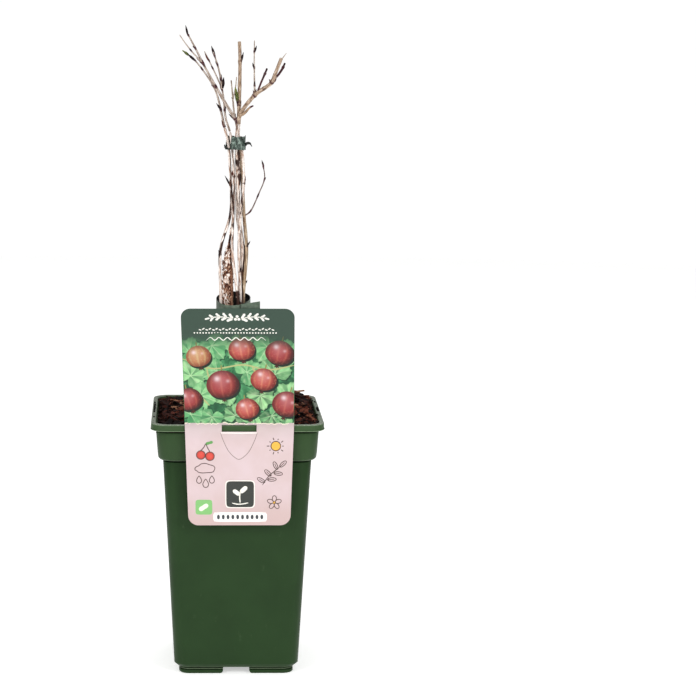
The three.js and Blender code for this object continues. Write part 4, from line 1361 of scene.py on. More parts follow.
def make_stump():
    """The old wood: small plates of rough bark and deep cracks."""
    limb = Limb("trunk", through(*TRUNK["route"]), (TRUNK["foot"], TRUNK["tip"]))

    def surface(centre, out, along, angle):
        radius = trunk_radius(along)
        point = centre + out * radius
        place = Vector((point.x / 1.9, point.y / 1.9, point.z / 4.2))
        place += Vector((0.4, 0.3, 0.6)) * noise.noise(point / 2.0)
        near, cells = noise.voronoi(place)
        crack = smooth(0.02, 0.3, near[1] - near[0])
        plate = noise.cell(cells[0] * 3.7)
        rough = grain(point, 0.9, 2.0, 4)
        flank = smooth(0.35, 0.75, out.x) * smooth(0.5, 0.0, out.y) * smooth(0.9, 0.7, along)
        depth = 0.6 * min(1.0, radius / 3) * (1 - 0.75 * flank)
        flare = 0.9 * math.exp(-along / 0.05) * math.cos(5 * angle + 1.1)
        radius += depth * (crack * (0.8 + 0.9 * plate) - 0.9) + 0.35 * depth * rough + flare
        # Painted light: the stump's left side is painted lighter.
        tone = 0.05 + 0.6 * crack + 0.45 * plate + 0.25 * smooth(0.1, -0.6, out.x)
        tone -= 0.35 * smooth(0.8, 0.92, along)
        return radius, clamp(lerp(tone, 0.62, 0.85 * flank))

    bm = bmesh.new()
    swept(bm, limb, 60, 0.5, surface)
    new_piece(mesh_from("old_stump", bm), old_bark(), ["trunk"], 50)


FLAKE_SHAPES = 6


def make_flakes(settings):
    """Loose flakes of bark all over the stump, but for its smooth flank."""
    route = through(*TRUNK["route"])
    draw = seeded(77)

    def flake(bm):
        bmesh.ops.create_grid(bm, x_segments=2, y_segments=3, size=1.0)
        for vert in bm.verts:
            x, y = vert.co.x, vert.co.y
            ragged = 1 - 0.35 * abs(y) ** 2 + 0.35 * (draw() - 0.5)
            rise = 0.2 - 0.35 * x * x + 0.17 * (y + 1) ** 2 + 0.1 * draw()
            vert.co = Vector((x * ragged, rise, y + 0.3 * (draw() - 0.5)))
        bmesh.ops.solidify(bm, geom=bm.faces[:], thickness=0.16)

    shapes = [prototype(flake) for _ in range(FLAKE_SHAPES)]
    placements = []
    for _ in range(settings.flakes):
        along = 0.02 + 0.84 * draw()
        angle = draw() * math.tau
        tangent = route.tangent(along)
        out = square_to(tangent, Vector((math.cos(angle), math.sin(angle), 0)))
        if out.x > 0.45 and out.y < 0.4 and along < 0.8:
            continue
        foot = route.at(along) + out * (trunk_radius(along) - 0.15)
        side = out.cross(tangent)
        turn = Matrix((side, out, tangent)).transposed().to_4x4()
        twist = Matrix.Rotation((draw() - 0.5) * 1.3, 4, "Y")
        small = 0.55 + 0.45 * min(1.0, trunk_radius(along) / 4)
        wide, thick, long = 0.3 + 0.5 * draw(), 0.7 + 0.9 * draw(), 0.5 + 1.1 * draw()
        size = Matrix.Diagonal((small * wide, thick, small * long, 1))
        # Painted shade: flakes on the stump's right side are painted darker.
        tone = (1.0 if draw() < 0.4 else 0.15 + 0.5 * draw()) * lerp(1, 0.55, smooth(-0.3, 0.5, out.x))
        which = int(draw() * FLAKE_SHAPES)
        placements.append((which, Matrix.Translation(foot) @ turn @ twist @ size, tone))
    new_piece(stamped("stump_flakes", shapes, placements), old_bark(), sharp=40)


def make_stems(settings):
    """The five upright stems of the clump, one mesh."""
    stems, _, _ = grown()
    bm = bmesh.new()
    for limb in stems:
        others = [other for other in stems if other is not limb]
        surface = limb_surface(limb, settings.relief, others=others)

        def flared(centre, out, along, angle, surface=surface, limb=limb):
            radius, tone = surface(centre, out, along, angle)
            ground = along * limb.length
            radius += 0.9 * math.exp(-ground / 5)
            old = smooth(80, 10, ground) * (0.12 + 0.25 * grain(centre + out, 5, 2))
            return radius, max(0.0, tone - old)

        swept(bm, limb, 18, 0.9, flared)
    new_piece(mesh_from("stems", bm), stem_bark(settings), [limb.name for limb in stems])


def make_boughs(settings):
    """The three boughs that leave the main stem above the tie."""
    _, boughs, _ = grown()
    bm = bmesh.new()
    for limb in boughs:
        surface = limb_surface(limb, 0.5 * settings.relief, collar=0.3, end_round=False)
        swept(bm, limb, 14, 0.8, surface)
    names = [f"bough_{limb.name}" for limb in boughs]
    new_piece(mesh_from("boughs", bm), twig_bark(settings), names)


def make_twigs(settings):
    """The bare twigs of every mass, each rooted in its bough, stem or twig."""
    _, _, twigs = grown()
    bm = bmesh.new()
    for limb in twigs:
        cut = limb.name in ("upright", "right")
        collar = 0.4 if limb.forks else 0.0
        surface = limb_surface(limb, 0.5 * settings.relief, collar=collar, end_round=not cut)
        swept(bm, limb, 12, 0.7, surface, lead=0.0 if limb.forks else 1.2)
    new_piece(mesh_from("twigs", bm), twig_bark(settings), list(MASSES))


def bud_shape(open_tip=False, spur=False):
    """A slim pointed bud of overlapping scales, one unit long and half a unit in radius."""

    def shape(bm):
        bmesh.ops.create_uvsphere(bm, u_segments=10, v_segments=11, radius=1.0)
        for vert in bm.verts:
            height = (vert.co.z + 1) / 2
            angle = math.atan2(vert.co.y, vert.co.x)
            if spur:
                cap = math.sqrt(max(0.0, 1 - max(0.0, (height - 0.86) / 0.14) ** 2))
                point = min(1.0, 6 * height + 0.5) * cap * (0.78 + 0.22 * height)
            else:
                body = math.sin(math.pi * min(1.0, height * 0.94 + 0.09)) ** 0.8
                point = body * (1 - 0.35 * height) * (0.86 if height > 0.6 else 1.0)
            turn = (height * 3.1 + angle / math.tau * 2) % 1.0
            scale = 1 + (0.1 if spur else 0.17) * (1 - turn)
            if open_tip and height > 0.72:
                point += 0.16 * math.cos(3 * angle) + 0.1
            flat = vert.co.xy.length or 1.0
            reach = 0.52 * point * scale if vert.co.xy.length > 1e-4 else 0.0
            vert.co = Vector((vert.co.x / flat * reach, vert.co.y / flat * reach, height * 1.06 - 0.06))

    return shape


def make_buds(settings):
    """Every bud on the stems, boughs and twigs: closed dark ones, red ones, green ones and dark spurs."""
    stems, boughs, twigs = grown()
    kinds = {
        "dark": (bud_shape(), bud_skin("dark_bud", "0a0305", "2b1215", "050203")),
        "red": (bud_shape(), bud_skin("red_bud", "3a120e", "6f3325", "140607")),
        "green": (bud_shape(open_tip=True), bud_skin("green_bud", "23270f", "74803c", "8f9a52")),
        "spur": (bud_shape(spur=True), bud_skin("spur_bark", "1b060b", "44191f", "0c0306")),
    }
    for kind, (shape, finish) in kinds.items():
        single = prototype(shape)
        placements = []
        for limb in stems + boughs + twigs:
            for number, (_, foot, way, length, thick, bud_kind) in enumerate(limb.buds):
                if bud_kind == kind:
                    size = (thick, thick, length * settings.bud_length)
                    placements.append((0, aimed(foot - way * 0.2, way, 2.4 * number, size), 1.0))
        mesh = stamped(f"{kind}_buds", [single], placements)
        heights = np.tile(single[0][:, 2], len(placements)).astype(np.float32)
        mesh.attributes["tone"].data.foreach_set("value", heights)
        new_piece(mesh, finish, sharp=70)


CURL = ((1.6, -1.9, 423.2), (4.4, -4.6, 424.4), (6.5, -6.2, 426.3), (9.2, -7.9, 429.3), (11.9, -9.3, 430.8))


def make_spur(settings):
    """The curled dead spur under the right bough."""
    limb = Limb("curl", through(*CURL), (1.7, 0.75))
    bm = bmesh.new()
    swept(bm, limb, 12, 0.6, limb_surface(limb, 2 * settings.relief))
    new_piece(mesh_from("dead_spur", bm), twig_bark(settings))


# ------------------------------------------------------------------ tie

TAPE_THICK = 0.3
TAPE_CENTRE_X, TAPE_REACH_X, TAPE_REACH_Y = -1.5, 7.4, 6.6
TAPE_FOOT = TIE - 3.6
TAPE_BROAD, TAPE_NARROW = 9.6, 1.25  # how tall it is at the front's right and at the left
FRONT_END = ((5.6, -2.4, 400.8), (7.5, -3.6, 402.4), (9.3, -3.8, 402.2), (10.9, -3.8, 399.8))
KNOT = Vector((-9.0, -3.8, 399.5))
KNOT_END = ((-7.6, -3.6, 398.6), (-9.0, -4.4, 399.6), (-9.8, -4.8, 401.4))


def slab(bm, width, length, thick, columns, rows):
    """A flat strip in (x, y) with its front at z 0 and its back at -thick; front vertices have tone 1."""
    tone = layer(bm, "tone")
    front = bmesh.ops.create_grid(bm, x_segments=columns, y_segments=rows, size=0.5)["verts"]
    for vert in front:
        vert.co = Vector((vert.co.x * width, (vert.co.y + 0.5) * length, 0))
        vert[tone] = 1.0
    back = extruded(bm, list({face for vert in front for face in vert.link_faces}))
    for vert in back:
        vert.co.z -= thick
        vert[tone] = 0.0
    return front + back


def loose_end(bm, points, width, phase):
    """A twisted end of the tape, tapering along its route."""
    tone, route = layer(bm, "tone"), through(*points)
    for vert in slab(bm, width, 1.0, TAPE_THICK, 4, 18):
        side, share, lift = vert.co
        tangent = route.tangent(share)
        up = square_to(tangent, Vector((0, -0.4, 1)))
        up = (up + up.cross(tangent) * 0.6 * math.sin(share * 4 + phase)).normalized()
        pinch = 1 - 0.45 * smooth(0.5, 1.0, share)
        vert.co = route.at(share) + up * side * pinch + tangent.cross(up) * lift
        # Painted shade: the loose ends are painted near black.
        vert[tone] = 0.05


def make_tie():
    """Green tape round the stems: broad and torn at the front's right, a thin twisted strap at the left."""
    bm = bmesh.new()
    tone = layer(bm, "tone")
    for vert in slab(bm, math.tau, 1.0, TAPE_THICK, 150, 10):
        angle, share, lift = vert.co
        narrow = smooth(-1.97, -2.12, angle) + smooth(2.5, 2.9, angle)
        torn = 0.55 * noise.noise(Vector((angle * 9, 0.5, 2.0)))
        torn += 0.35 * noise.noise(Vector((angle * 24, 1.5, 2.0)))
        spike = 1.3 * math.exp(-(((angle - 0.12) / 0.16) ** 2))
        spike += 0.5 * math.exp(-(((angle + 0.55) / 0.1) ** 2))
        tall = lerp(TAPE_BROAD + torn + spike, TAPE_NARROW, narrow)
        low = lerp(0.3 - 0.5 * math.cos(angle), 0.2, narrow)
        wrinkle = 0.15 * grain(Vector((angle * 6, share * 2.2, 0.0)), 1.0)
        fold = 0.12 * math.sin(share * math.pi * 2.4 + angle * 2) * (1 - narrow)
        out = 0.4 + lift + wrinkle + fold
        vert.co.x = TAPE_CENTRE_X + (TAPE_REACH_X + out) * math.cos(angle)
        vert.co.y = (TAPE_REACH_Y + out) * math.sin(angle)
        vert.co.z = TAPE_FOOT + low + tall * share
        # Painted shade and light: the broad band is painted half dark on its right and back, lit on its left,
        # and the narrow strap darker still.
        vert[tone] = lerp(1.0, 0.2, narrow) * lerp(1.0, 0.5, smooth(-0.75, -0.35, angle))
    closed_up(bm, 0.02)
    loose_end(bm, FRONT_END, 2.1, 1)
    loose_end(bm, KNOT_END, 1.5, 2)
    # The knot keeps tone 0: painted near black as shade.
    for vert in bmesh.ops.create_icosphere(bm, subdivisions=3, radius=1.0)["verts"]:
        vert.co *= 1 + 0.3 * grain(vert.co, 0.8)
        vert.co = KNOT + Vector((vert.co.x, vert.co.y, vert.co.z * 0.9))
    new_piece(mesh_from("tie_tape", bm), tape_finish(), ["tie"], 45)


# ------------------------------------------------------------------ label: the card

CARD_SIDE = through(
    (0, CARD_FOOT_Y, CARD_FOOT),
    (0, -64.4, 165),
    (0, CARD_LIP_Y, 190),
    (0, CARD_LIP_Y - 0.2, POT_HEIGHT),
    (0, -61.9, 205.5),
    (0, -38.8, 241),
    (0, CARD_TOP_Y, CARD_TOP - 0.5),
)
CARD_LENGTH = CARD_SIDE.length
CARD_FRONT = 0.02  # how far the card's printed face stands in front of its middle
BEND_PITCH = 1.5  # the card bends only at these steps along it, so its print lies flat on it


def card_distance(height):
    """How far along the card, from its lower edge, a height is."""
    return float(np.interp(height, CARD_SIDE.points[:, 2], CARD_SIDE.lengths))


PRINT_EDGE = (card_distance(SLOT["high"]) + 1.1) / CARD_LENGTH  # share of the card where the picture begins


def card_half(distance):
    """Half the card's width at a distance along it, drawn in at its rounded corners."""
    to_end = max(0.0, min(distance, CARD_LENGTH - distance))
    half = lerp(CARD_FOOT_WIDTH, CARD_TOP_WIDTH, distance / CARD_LENGTH) / 2
    if to_end >= CARD_CORNER:
        return half
    return half - CARD_CORNER + math.sqrt(max(0.0, CARD_CORNER**2 - (CARD_CORNER - to_end) ** 2))


def card_ring(step):
    """The card's middle and the way it faces at a bend step."""
    share = clamp(step * BEND_PITCH / CARD_LENGTH)
    tangent = CARD_SIDE.tangent(share)
    return CARD_SIDE.at(share), Vector((0, -tangent.z, tangent.y))


CARD_RINGS = [card_ring(step) for step in range(math.ceil(CARD_LENGTH / BEND_PITCH) + 1)]
LAST_BEND = CARD_LENGTH / BEND_PITCH


def bend_to_card(verts):
    """Lays flat shapes of (across, along, lift) on the card's printed face."""
    for vert in verts:
        side, along, lift = vert.co
        place = clamp(along / BEND_PITCH, 0.0, LAST_BEND)
        step = min(int(place + 1e-6), len(CARD_RINGS) - 2)
        share = (place - step) / (min(step + 1, LAST_BEND) - step)
        (low, low_out), (high, high_out) = CARD_RINGS[step], CARD_RINGS[step + 1]
        centre = low.lerp(high, share) + low_out.lerp(high_out, share) * (CARD_FRONT + lift)
        vert.co = centre + Vector((side + lerp(*CARD_CENTRES, along / CARD_LENGTH), 0, 0))


def cut_at_bends(bm):
    """Cuts a flat shape along every bend of the card that crosses it."""
    heights = [vert.co.y for vert in bm.verts]
    for step in range(math.ceil(min(heights) / BEND_PITCH), math.floor(max(heights) / BEND_PITCH) + 1):
        sliced(bm, (0, step * BEND_PITCH, 0), (0, 1, 0))


def make_card(settings):
    """The hang label's card: it bends over the rim, and its slot is hooked on the lip."""
    bm = bmesh.new()
    tone = layer(bm, "tone")
    uv = bm.loops.layers.uv.verify()
    bmesh.ops.create_grid(bm, x_segments=36, y_segments=90, size=1.0, calc_uvs=True)
    for vert in bm.verts:
        along = CARD_LENGTH * (0.5 + 0.5 * math.sin(vert.co.y * math.pi / 2))
        vert.co = Vector((vert.co.x * card_half(along), along, 0))
        vert[tone] = 1.0
    low, high = card_distance(SLOT["low"]), card_distance(SLOT["high"])
    middle = lerp(*CARD_CENTRES, low / CARD_LENGTH)
    left, right = SLOT["left"] - middle, SLOT["right"] - middle
    for side in (left, right):
        sliced(bm, (side, 0, 0), (1, 0, 0), 1e-4)
    for height in (low, high):
        sliced(bm, (0, height, 0), (0, 1, 0), 1e-4)
    cut_at_bends(bm)
    hole = []
    for face in bm.faces:
        centre = face.calc_center_median()
        if left < centre.x < right and low < centre.y < high:
            hole.append(face)
    bmesh.ops.delete(bm, geom=hole, context="FACES")
    for face in bm.faces:
        for loop in face.loops:
            loop[uv].uv = (loop.vert.co.x * MM, loop.vert.co.y * MM)
    for vert in extruded(bm):
        vert.co.z -= CARD_THICK
        vert[tone] = 0.0
    bend_to_card(bm.verts)
    finish = card_finish(settings, CARD_LENGTH, PRINT_EDGE)
    new_piece(mesh_from("label_card", bm), finish, ["label"], 35)


# ------------------------------------------------------------------ label: printing tools

INK_PITCH = 0.003  # each layer of print stands this much in front of the last
INK_DEPTH = 0.06  # how far a printed shape reaches into the card
EDGE_MARGIN = 0.25  # the bare rim at the card's sides
# Where the picture fades out upwards.
FADE = (CARD_LENGTH * (PRINT_EDGE + 0.33), CARD_LENGTH * (PRINT_EDGE + 0.43))


def beside(place, turn, reach):
    """The place that lies a reach away in a direction."""
    return place[0] + reach * math.cos(turn), place[1] + reach * math.sin(turn)


def turned(centre, x, y, turn):
    """A place given from a centre, turned about it."""
    cosine, sine = math.cos(turn), math.sin(turn)
    return centre[0] + x * cosine - y * sine, centre[1] + x * sine + y * cosine


class Print:
    """Flat printed shapes, in millimetres across and along the card, each laid over the last."""

    def __init__(self, level, floor, veil=None):
        self.level = level
        self.floor = floor
        self.veil = veil
        self.points, self.faces, self.inks = [], [], []

    def keep(self, bm, ink):
        """Trims a shape to the card, cuts it at the bends, gives it thickness and lays it on the card."""
        slant = (CARD_TOP_WIDTH - CARD_FOOT_WIDTH) / 2
        for side in (-1, 1):
            edge = (side * (CARD_FOOT_WIDTH / 2 - EDGE_MARGIN), 0, 0)
            sliced(bm, edge, (side * CARD_LENGTH, -slant, 0), clear_outer=True)
        sliced(bm, (0, self.floor, 0), (0, 1, 0), clear_inner=True)
        if not bm.faces:
            bm.free()
            return
        cut_at_bends(bm)
        outwards(bm)
        for vert in bm.verts:
            if self.veil:
                vert[ink] = blend(vert[ink], self.veil, 0.92 * smooth(*FADE, vert.co.y))
            vert.co.z = self.level * INK_PITCH
        for vert in extruded(bm):
            vert.co.z = -INK_DEPTH
        bend_to_card(bm.verts)
        outwards(bm)
        bm.verts.index_update()
        start = len(self.points)
        self.points.extend(vert.co[:] for vert in bm.verts)
        self.inks.extend(tuple(vert[ink]) for vert in bm.verts)
        self.faces.extend([vert.index + start for vert in face.verts] for face in bm.faces)
        bm.free()

    def disc(self, centre, outline, shade, sides=40, rings=6, turn=0.0):
        """A round shape: a radius or outline(angle), in one colour or in shade(x, y, share, angle)."""
        bm = bmesh.new()
        ink = layer(bm, "ink", "float_color")
        bmesh.ops.create_grid(bm, x_segments=sides, y_segments=rings, size=0.5)
        for vert in bm.verts:
            angle, share = (vert.co.x + 0.5) * math.tau, vert.co.y + 0.5
            reach = share * (outline(angle) if callable(outline) else outline)
            x, y = reach * math.cos(angle), reach * math.sin(angle)
            vert[ink] = shade(x, y, share, angle) if callable(shade) else shade
            vert.co = Vector((*turned(centre, x, y, turn), 0))
        bmesh.ops.remove_doubles(bm, verts=bm.verts, dist=1e-4)
        self.keep(bm, ink)

    def stroke(self, points, width, tint, ends=0.35, steps=18):
        """A drawn line through points, thinner at its ends."""
        route = through(*[(x, y, 0) for x, y in points])
        bm = bmesh.new()
        ink = layer(bm, "ink", "float_color")
        bmesh.ops.create_grid(bm, x_segments=1, y_segments=steps, size=0.5)
        for vert in bm.verts:
            share = vert.co.y + 0.5
            tangent = route.tangent(share)
            thin = lerp(ends, 1.0, smooth(0.0, 0.15, min(share, 1 - share)))
            place = route.at(share) + Vector((-tangent.y, tangent.x, 0)) * (vert.co.x * width * thin)
            vert.co = Vector((place.x, place.y, 0))
            vert[ink] = tint
        bmesh.ops.remove_doubles(bm, verts=bm.verts, dist=1e-4)
        self.keep(bm, ink)

    def closed_line(self, centre, place, count, width, tint, steps, turn=0.0, start=0.0):
        """A drawn line round a centre, through count places given by place(angle)."""
        angles = [start + step / count * math.tau for step in range(count + 1)]
        self.stroke([turned(centre, *place(angle), turn) for angle in angles], width, tint, 0.9, steps)

    def ring(self, centre, radius, width, tint, stretch=1.0, turn=0.0):
        """A drawn ring, round or oval."""

        def place(angle):
            return radius * math.cos(angle), radius * stretch * math.sin(angle)

        self.closed_line(centre, place, 16, width, tint, 40, turn)

    def leaflet(self, foot, size, turn, tint, slim=0.36):
        """A small pointed leaf on a line."""

        def outline(angle):
            return size * 0.5 * (slim + (1 - slim) * abs(math.cos(angle)) ** 3)

        self.disc(beside(foot, turn, size * 0.5), outline, tint, 24, 2, turn)

    def patch(self, centre, width, height, corner, tint):
        """A plain patch with rounded corners."""

        def outline(angle):
            x, y = abs(math.cos(angle)), abs(math.sin(angle))
            return 1 / ((x / (width / 2)) ** corner + (y / (height / 2)) ** corner) ** (1 / corner)

        self.disc(centre, outline, tint, 72, 3)
        self.level += 1

    def finished(self, name):
        mesh = bpy.data.meshes.new(name)
        mesh.from_pydata([[MM * value for value in point] for point in self.points], [], self.faces)
        inks = mesh.attributes.new("ink", "FLOAT_COLOR", "POINT")
        inks.data.foreach_set("color", np.array(self.inks, np.float32).ravel())
        return mesh


# ------------------------------------------------------------------ label: the picture

LOBES = ((0.0, 1.0), (0.95, 0.9), (-0.95, 0.9), (1.85, 0.72), (-1.85, 0.72))  # a leaf's: direction and reach


def leaf(sheet, centre, size, turn, light, dark, vein):
    """A rounded, lobed gooseberry leaf, folded at its veins, over its own soft shadow."""

    def lobe(angle):
        angle = (angle + math.pi) % math.tau - math.pi
        return min(((abs(angle - place), angle - place, reach) for place, reach in LOBES))

    def outline(angle):
        away, _, reach = lobe(angle)
        bay = math.exp(-((away / 0.5) ** 2))
        tooth = 1 + 0.05 * math.cos(26 * angle) * bay
        stalk = smooth(0.0, 0.5, math.pi - abs((angle + math.pi) % math.tau - math.pi))
        return size * (0.6 + 0.38 * reach * bay) * tooth * lerp(0.4, 1.0, stalk)

    def shade(x, y, share, angle):
        away, side, _ = lobe(angle)
        fold = 0.52 + 0.48 * math.tanh(9 * side) * (1 - 0.4 * share)
        rib = 0.5 + 0.5 * math.cos(26 * away - 9 * share)
        bright = 0.72 * fold + 0.2 * share + 0.14 * rib + 0.12 * math.sin(size + 2 * x / size)
        tone = blend(dark, light, bright)
        mottle = noise.noise(Vector((centre[0] + x, centre[1] + y, size)) / 2.6)
        tone = blend(tone, vein if mottle > 0 else dark, 0.45 * abs(mottle))
        line = math.exp(-((away * share * size / 0.26) ** 2))
        tone = blend(tone, vein, 0.6 * line * (1 - 0.55 * share))
        return blend(tone, dark, 0.35 * smooth(0.86, 1.0, share))

    under = blend(dark, colour("0d2a1b"), 0.7)
    sheet.disc((centre[0] + 0.7, centre[1] - 1.0), outline, under, 60, 2, turn)
    sheet.level += 1
    sheet.disc(centre, outline, shade, 90, 8, turn)
    sheet.level += 1


def berry(sheet, centre, radius, turn, tints):
    """A ripe gooseberry with pale veins from pole to pole, its stalk and its dry flower end."""
    deep, ripe, shine, line = (colour(code) for code in tints)

    def outline(angle):
        return radius * (1 + 0.04 * math.cos(2 * angle) - 0.015 * math.sin(3 * angle))

    def shade(x, y, share, angle):
        u, v = x / radius, y / radius
        width = math.sqrt(max(0.04, 1 - min(v * v, 0.96)))
        tone = blend(ripe, deep, smooth(0.45, 1.0, share) * 0.9 + 0.2 * (u - 0.6 * v))
        vein = abs(math.cos(u / width * 5.0 + 0.5)) ** 16
        tone = blend(tone, line, 0.34 * vein * (1 - share**3))
        speck = noise.noise(Vector((x * 0.9, y * 0.9, radius)))
        tone = blend(tone, line, 0.22 * smooth(0.25, 0.6, speck))
        haze = math.exp(-(((u + 0.1) / 0.55) ** 2 + ((v - 0.25) / 0.6) ** 2))
        tone = blend(tone, shine, 0.34 * haze)
        glow = math.exp(-((u + 0.32) ** 2 + (v - 0.42) ** 2) / 0.03)
        glow += 0.5 * math.exp(-((u - 0.35) ** 2 + (v - 0.2) ** 2) / 0.012)
        return blend(tone, colour("fbe6ea"), 0.75 * glow)

    up = turn + math.pi / 2
    foot, end = beside(centre, up, radius * 0.7), beside(centre, up, radius * 1.35)
    sheet.stroke([foot, (end[0] + 0.6, end[1])], 0.9, colour("8f8a4a"), 0.6, 6)
    sheet.disc((centre[0] + 1.2, centre[1] - 1.6), outline, colour("16261a"), 48, 2, turn)
    sheet.level += 1
    sheet.disc(centre, outline, shade, 64, 16, turn)
    sheet.level += 1
    tip = beside(centre, turn - math.pi / 2, radius * 0.96)
    for spread in (-0.6, -0.1, 0.45):
        sheet.stroke([tip, beside(tip, turn + spread - math.pi / 2, 3.0)], 1.0, colour("4a2a1e"), 0.45, 4)
    sheet.level += 1


# The picture's leaves: across, up from the picture's foot, size and turn.
LEAVES = (
    (-37, 58, 13, 0.4), (-20, 63, 14, 5.4), (2, 60, 13, 1.9), (22, 62, 14, 4.2), (38, 56, 13, 2.6),
    (-36, 38, 14, 1.0), (-16, 42, 12, 3.6), (6, 41, 13, 0.5), (27, 39, 15, 2.2), (-29, 22, 13, 5.9),
    (-8, 24, 12, 2.9), (16, 22, 12, 4.9), (37, 21, 13, 1.2), (-36, 7, 12, 0.8), (-20, 5, 10, 4.4),
    (-3, 6, 10, 1.5), (11, 5, 10, 3.3), (24, 6, 11, 5.3), (37, 6, 10, 2.4),
)
BRANCHES = (
    ((-42, 52), (-20, 44), (4, 47), (22, 43), (43, 47)),
    ((-24, 45), (-22, 36), (-17, 29)),
    ((10, 46), (14, 38), (19, 31)),
    ((-41, 25), (-30, 22), (-22, 14)),
)
# A berry's colours: its shaded side, its skin, its haze and its veins.
WINE = ("430f0e", "9c2624", "dc9a9e", "d87a5f")
ROSY = ("701b18", "bb4036", "f0bdb4", "efa878")
PALE = ("86402a", "bf7a50", "ecd3a8", "dfe0a0")
BERRIES = (
    (-30, 54, 9.0, 0.2, PALE),
    (31, 57, 10.4, -0.2, WINE),
    (2.5, 60, 9.6, 0.15, ROSY),
    (-12, 31, 11.8, 0.1, WINE),
    (18.5, 35, 9.4, -0.15, ROSY),
    (-37, 19, 9.2, 0.3, WINE),
    (6, 11.5, 8.4, 0.25, ROSY),
    (35.5, 15, 10.6, -0.25, WINE),
)


def make_picture(settings, cream):
    """The label's picture of berries among leaves, with a wavy line across its upper edge."""
    start = PRINT_EDGE * CARD_LENGTH
    sheet = Print(1, start + 0.3, blend(solid(settings.header_colour), colour("22332a"), 0.35))
    fresh, mid, dark, vein = (colour(code) for code in ("b2eba4", "50b06e", "0c4526", "d8f2c0"))
    draw = seeded(9)
    for x, y, size, turn in LEAVES:
        light = blend(mid, fresh, 0.25 + 0.75 * draw())
        leaf(sheet, (x, start + y), size, turn, light, blend(dark, mid, 0.6 * draw()), vein)
    for points in BRANCHES:
        sheet.stroke([(x, start + y) for x, y in points], 1.2, colour("b9bd80"), 0.5, 30)
        sheet.level += 1
    for x, y, size, turn, tints in BERRIES:
        berry(sheet, (x, start + y), size, turn, tints)
    sheet.veil = None
    wave = [(-24 + 3.2 * step, CARD_LENGTH - 25.4 + (1.2 if step % 2 else -1.2)) for step in range(15)]
    sheet.stroke(wave, 0.7, cream, 0.3, 70)
    return sheet.finished("label_picture")


# ------------------------------------------------------------------ label: ornament and line drawings

YELLOW = "f0b43c"
LINE_WIDTH = 0.64


def draw_garland(sheet, height, tint):
    """Two leafy sprigs across the card's top, mirrored about three berries in its middle."""
    middle, lean, reach = -0.5, 0.72, 21.0
    arc = math.pi / reach / 1.25
    for side in (-1, 1):
        rise = [(away, height - 1.4 + 2.6 * math.sin(arc * away)) for away in (3.4, 8, 13, 18, reach)]
        sheet.stroke([(middle + side * away, up) for away, up in rise], 0.8, tint, 0.5, 30)
        for step, (away, up) in enumerate(rise):
            slope = 0.35 * math.cos(arc * away)
            for turn in (slope + lean, slope - lean) if step < 4 else (slope,):
                foot = (middle + side * away, up)
                sheet.leaflet(foot, 5.0 - 0.35 * step, turn if side > 0 else math.pi - turn, tint)
    for x, y in ((-1.3, -0.8), (1.3, -0.8), (0, 1.5)):
        sheet.disc((middle + x, height + y), 1.15, tint, 20, 2)


def draw_rows(sheet, height, tint):
    """A fine row of small leaves and one of dots, under the garland."""
    for row, (half, pitch) in enumerate(((29, 2.5), (33, 2.2))):
        for step in range(int(2 * half / pitch)):
            x, y = -half + (step + 0.5) * pitch - 1, height - 3.4 * row
            if row:
                sheet.disc((x, y), 0.62, tint, 12, 1)
            else:
                sheet.leaflet((x - 0.8, y - 0.6), 2.1, 0.6 if step % 2 else -0.3, tint, 0.45)


def draw_sun(sheet, centre, radius, line):
    sheet.disc(centre, radius, colour(YELLOW), 28, 2)
    sheet.level += 1
    sheet.ring(centre, radius, 0.7, line)
    for step in range(10):
        angle = step / 10 * math.tau
        long = 3.2 if step % 2 else 2.3
        ray = [beside(centre, angle, radius + away) for away in (1.1, long)]
        sheet.stroke(ray, 0.74, line, 0.5, 3)
    sheet.level -= 1


def draw_currants(sheet, centre, line):
    """A pair of small red currants on a forked stalk."""
    fill, shadow, radius = colour("d8402f"), colour("8f1f18"), 3.3
    pair = [((centre[0] + x, centre[1] + y), x) for x, y in ((-3.6, -2.8), (3.1, -3.8))]
    for place, _ in pair:
        sheet.disc(place, radius, lambda x, y, share, angle: blend(fill, shadow, share**4), 28, 5)
    sheet.level += 1
    for place, x in pair:
        sheet.ring(place, radius, LINE_WIDTH, line)
        bend, fork = (centre[0] + x * 0.4, centre[1] + 3), (centre[0], centre[1] + 6)
        sheet.stroke([(place[0], place[1] + radius), bend, fork], 0.7, line, 0.5, 10)
    sheet.leaflet((centre[0], centre[1] + 5.6), 5.6, 0.3, colour("5c9a4e"))
    sheet.level -= 1


def draw_shower(sheet, centre, line):
    """A small cloud and three falling drops in outline."""

    def cloud(angle):
        puff = 6.6 * (1 + 0.16 * abs(math.sin(2.5 * angle + 0.4)))
        flat = 0.62 if math.sin(angle) > 0 else 0.36
        return puff * math.cos(angle), puff * flat * math.sin(angle)

    sheet.closed_line((centre[0], centre[1] + 6), cloud, 24, LINE_WIDTH, line, 60)
    for x, y, size in ((-4.5, -2.5, 3.0), (0.4, -5.4, 3.4), (5.0, -2.4, 3.0)):

        def drop(angle, size=size):
            pull = 1 + 0.75 * max(0.0, math.sin(angle)) ** 6
            return 0.62 * size * math.cos(angle), 0.7 * size * math.sin(angle) * pull

        sheet.closed_line((centre[0] + x, centre[1] + y), drop, 12, LINE_WIDTH, line, 30, start=math.pi / 2)


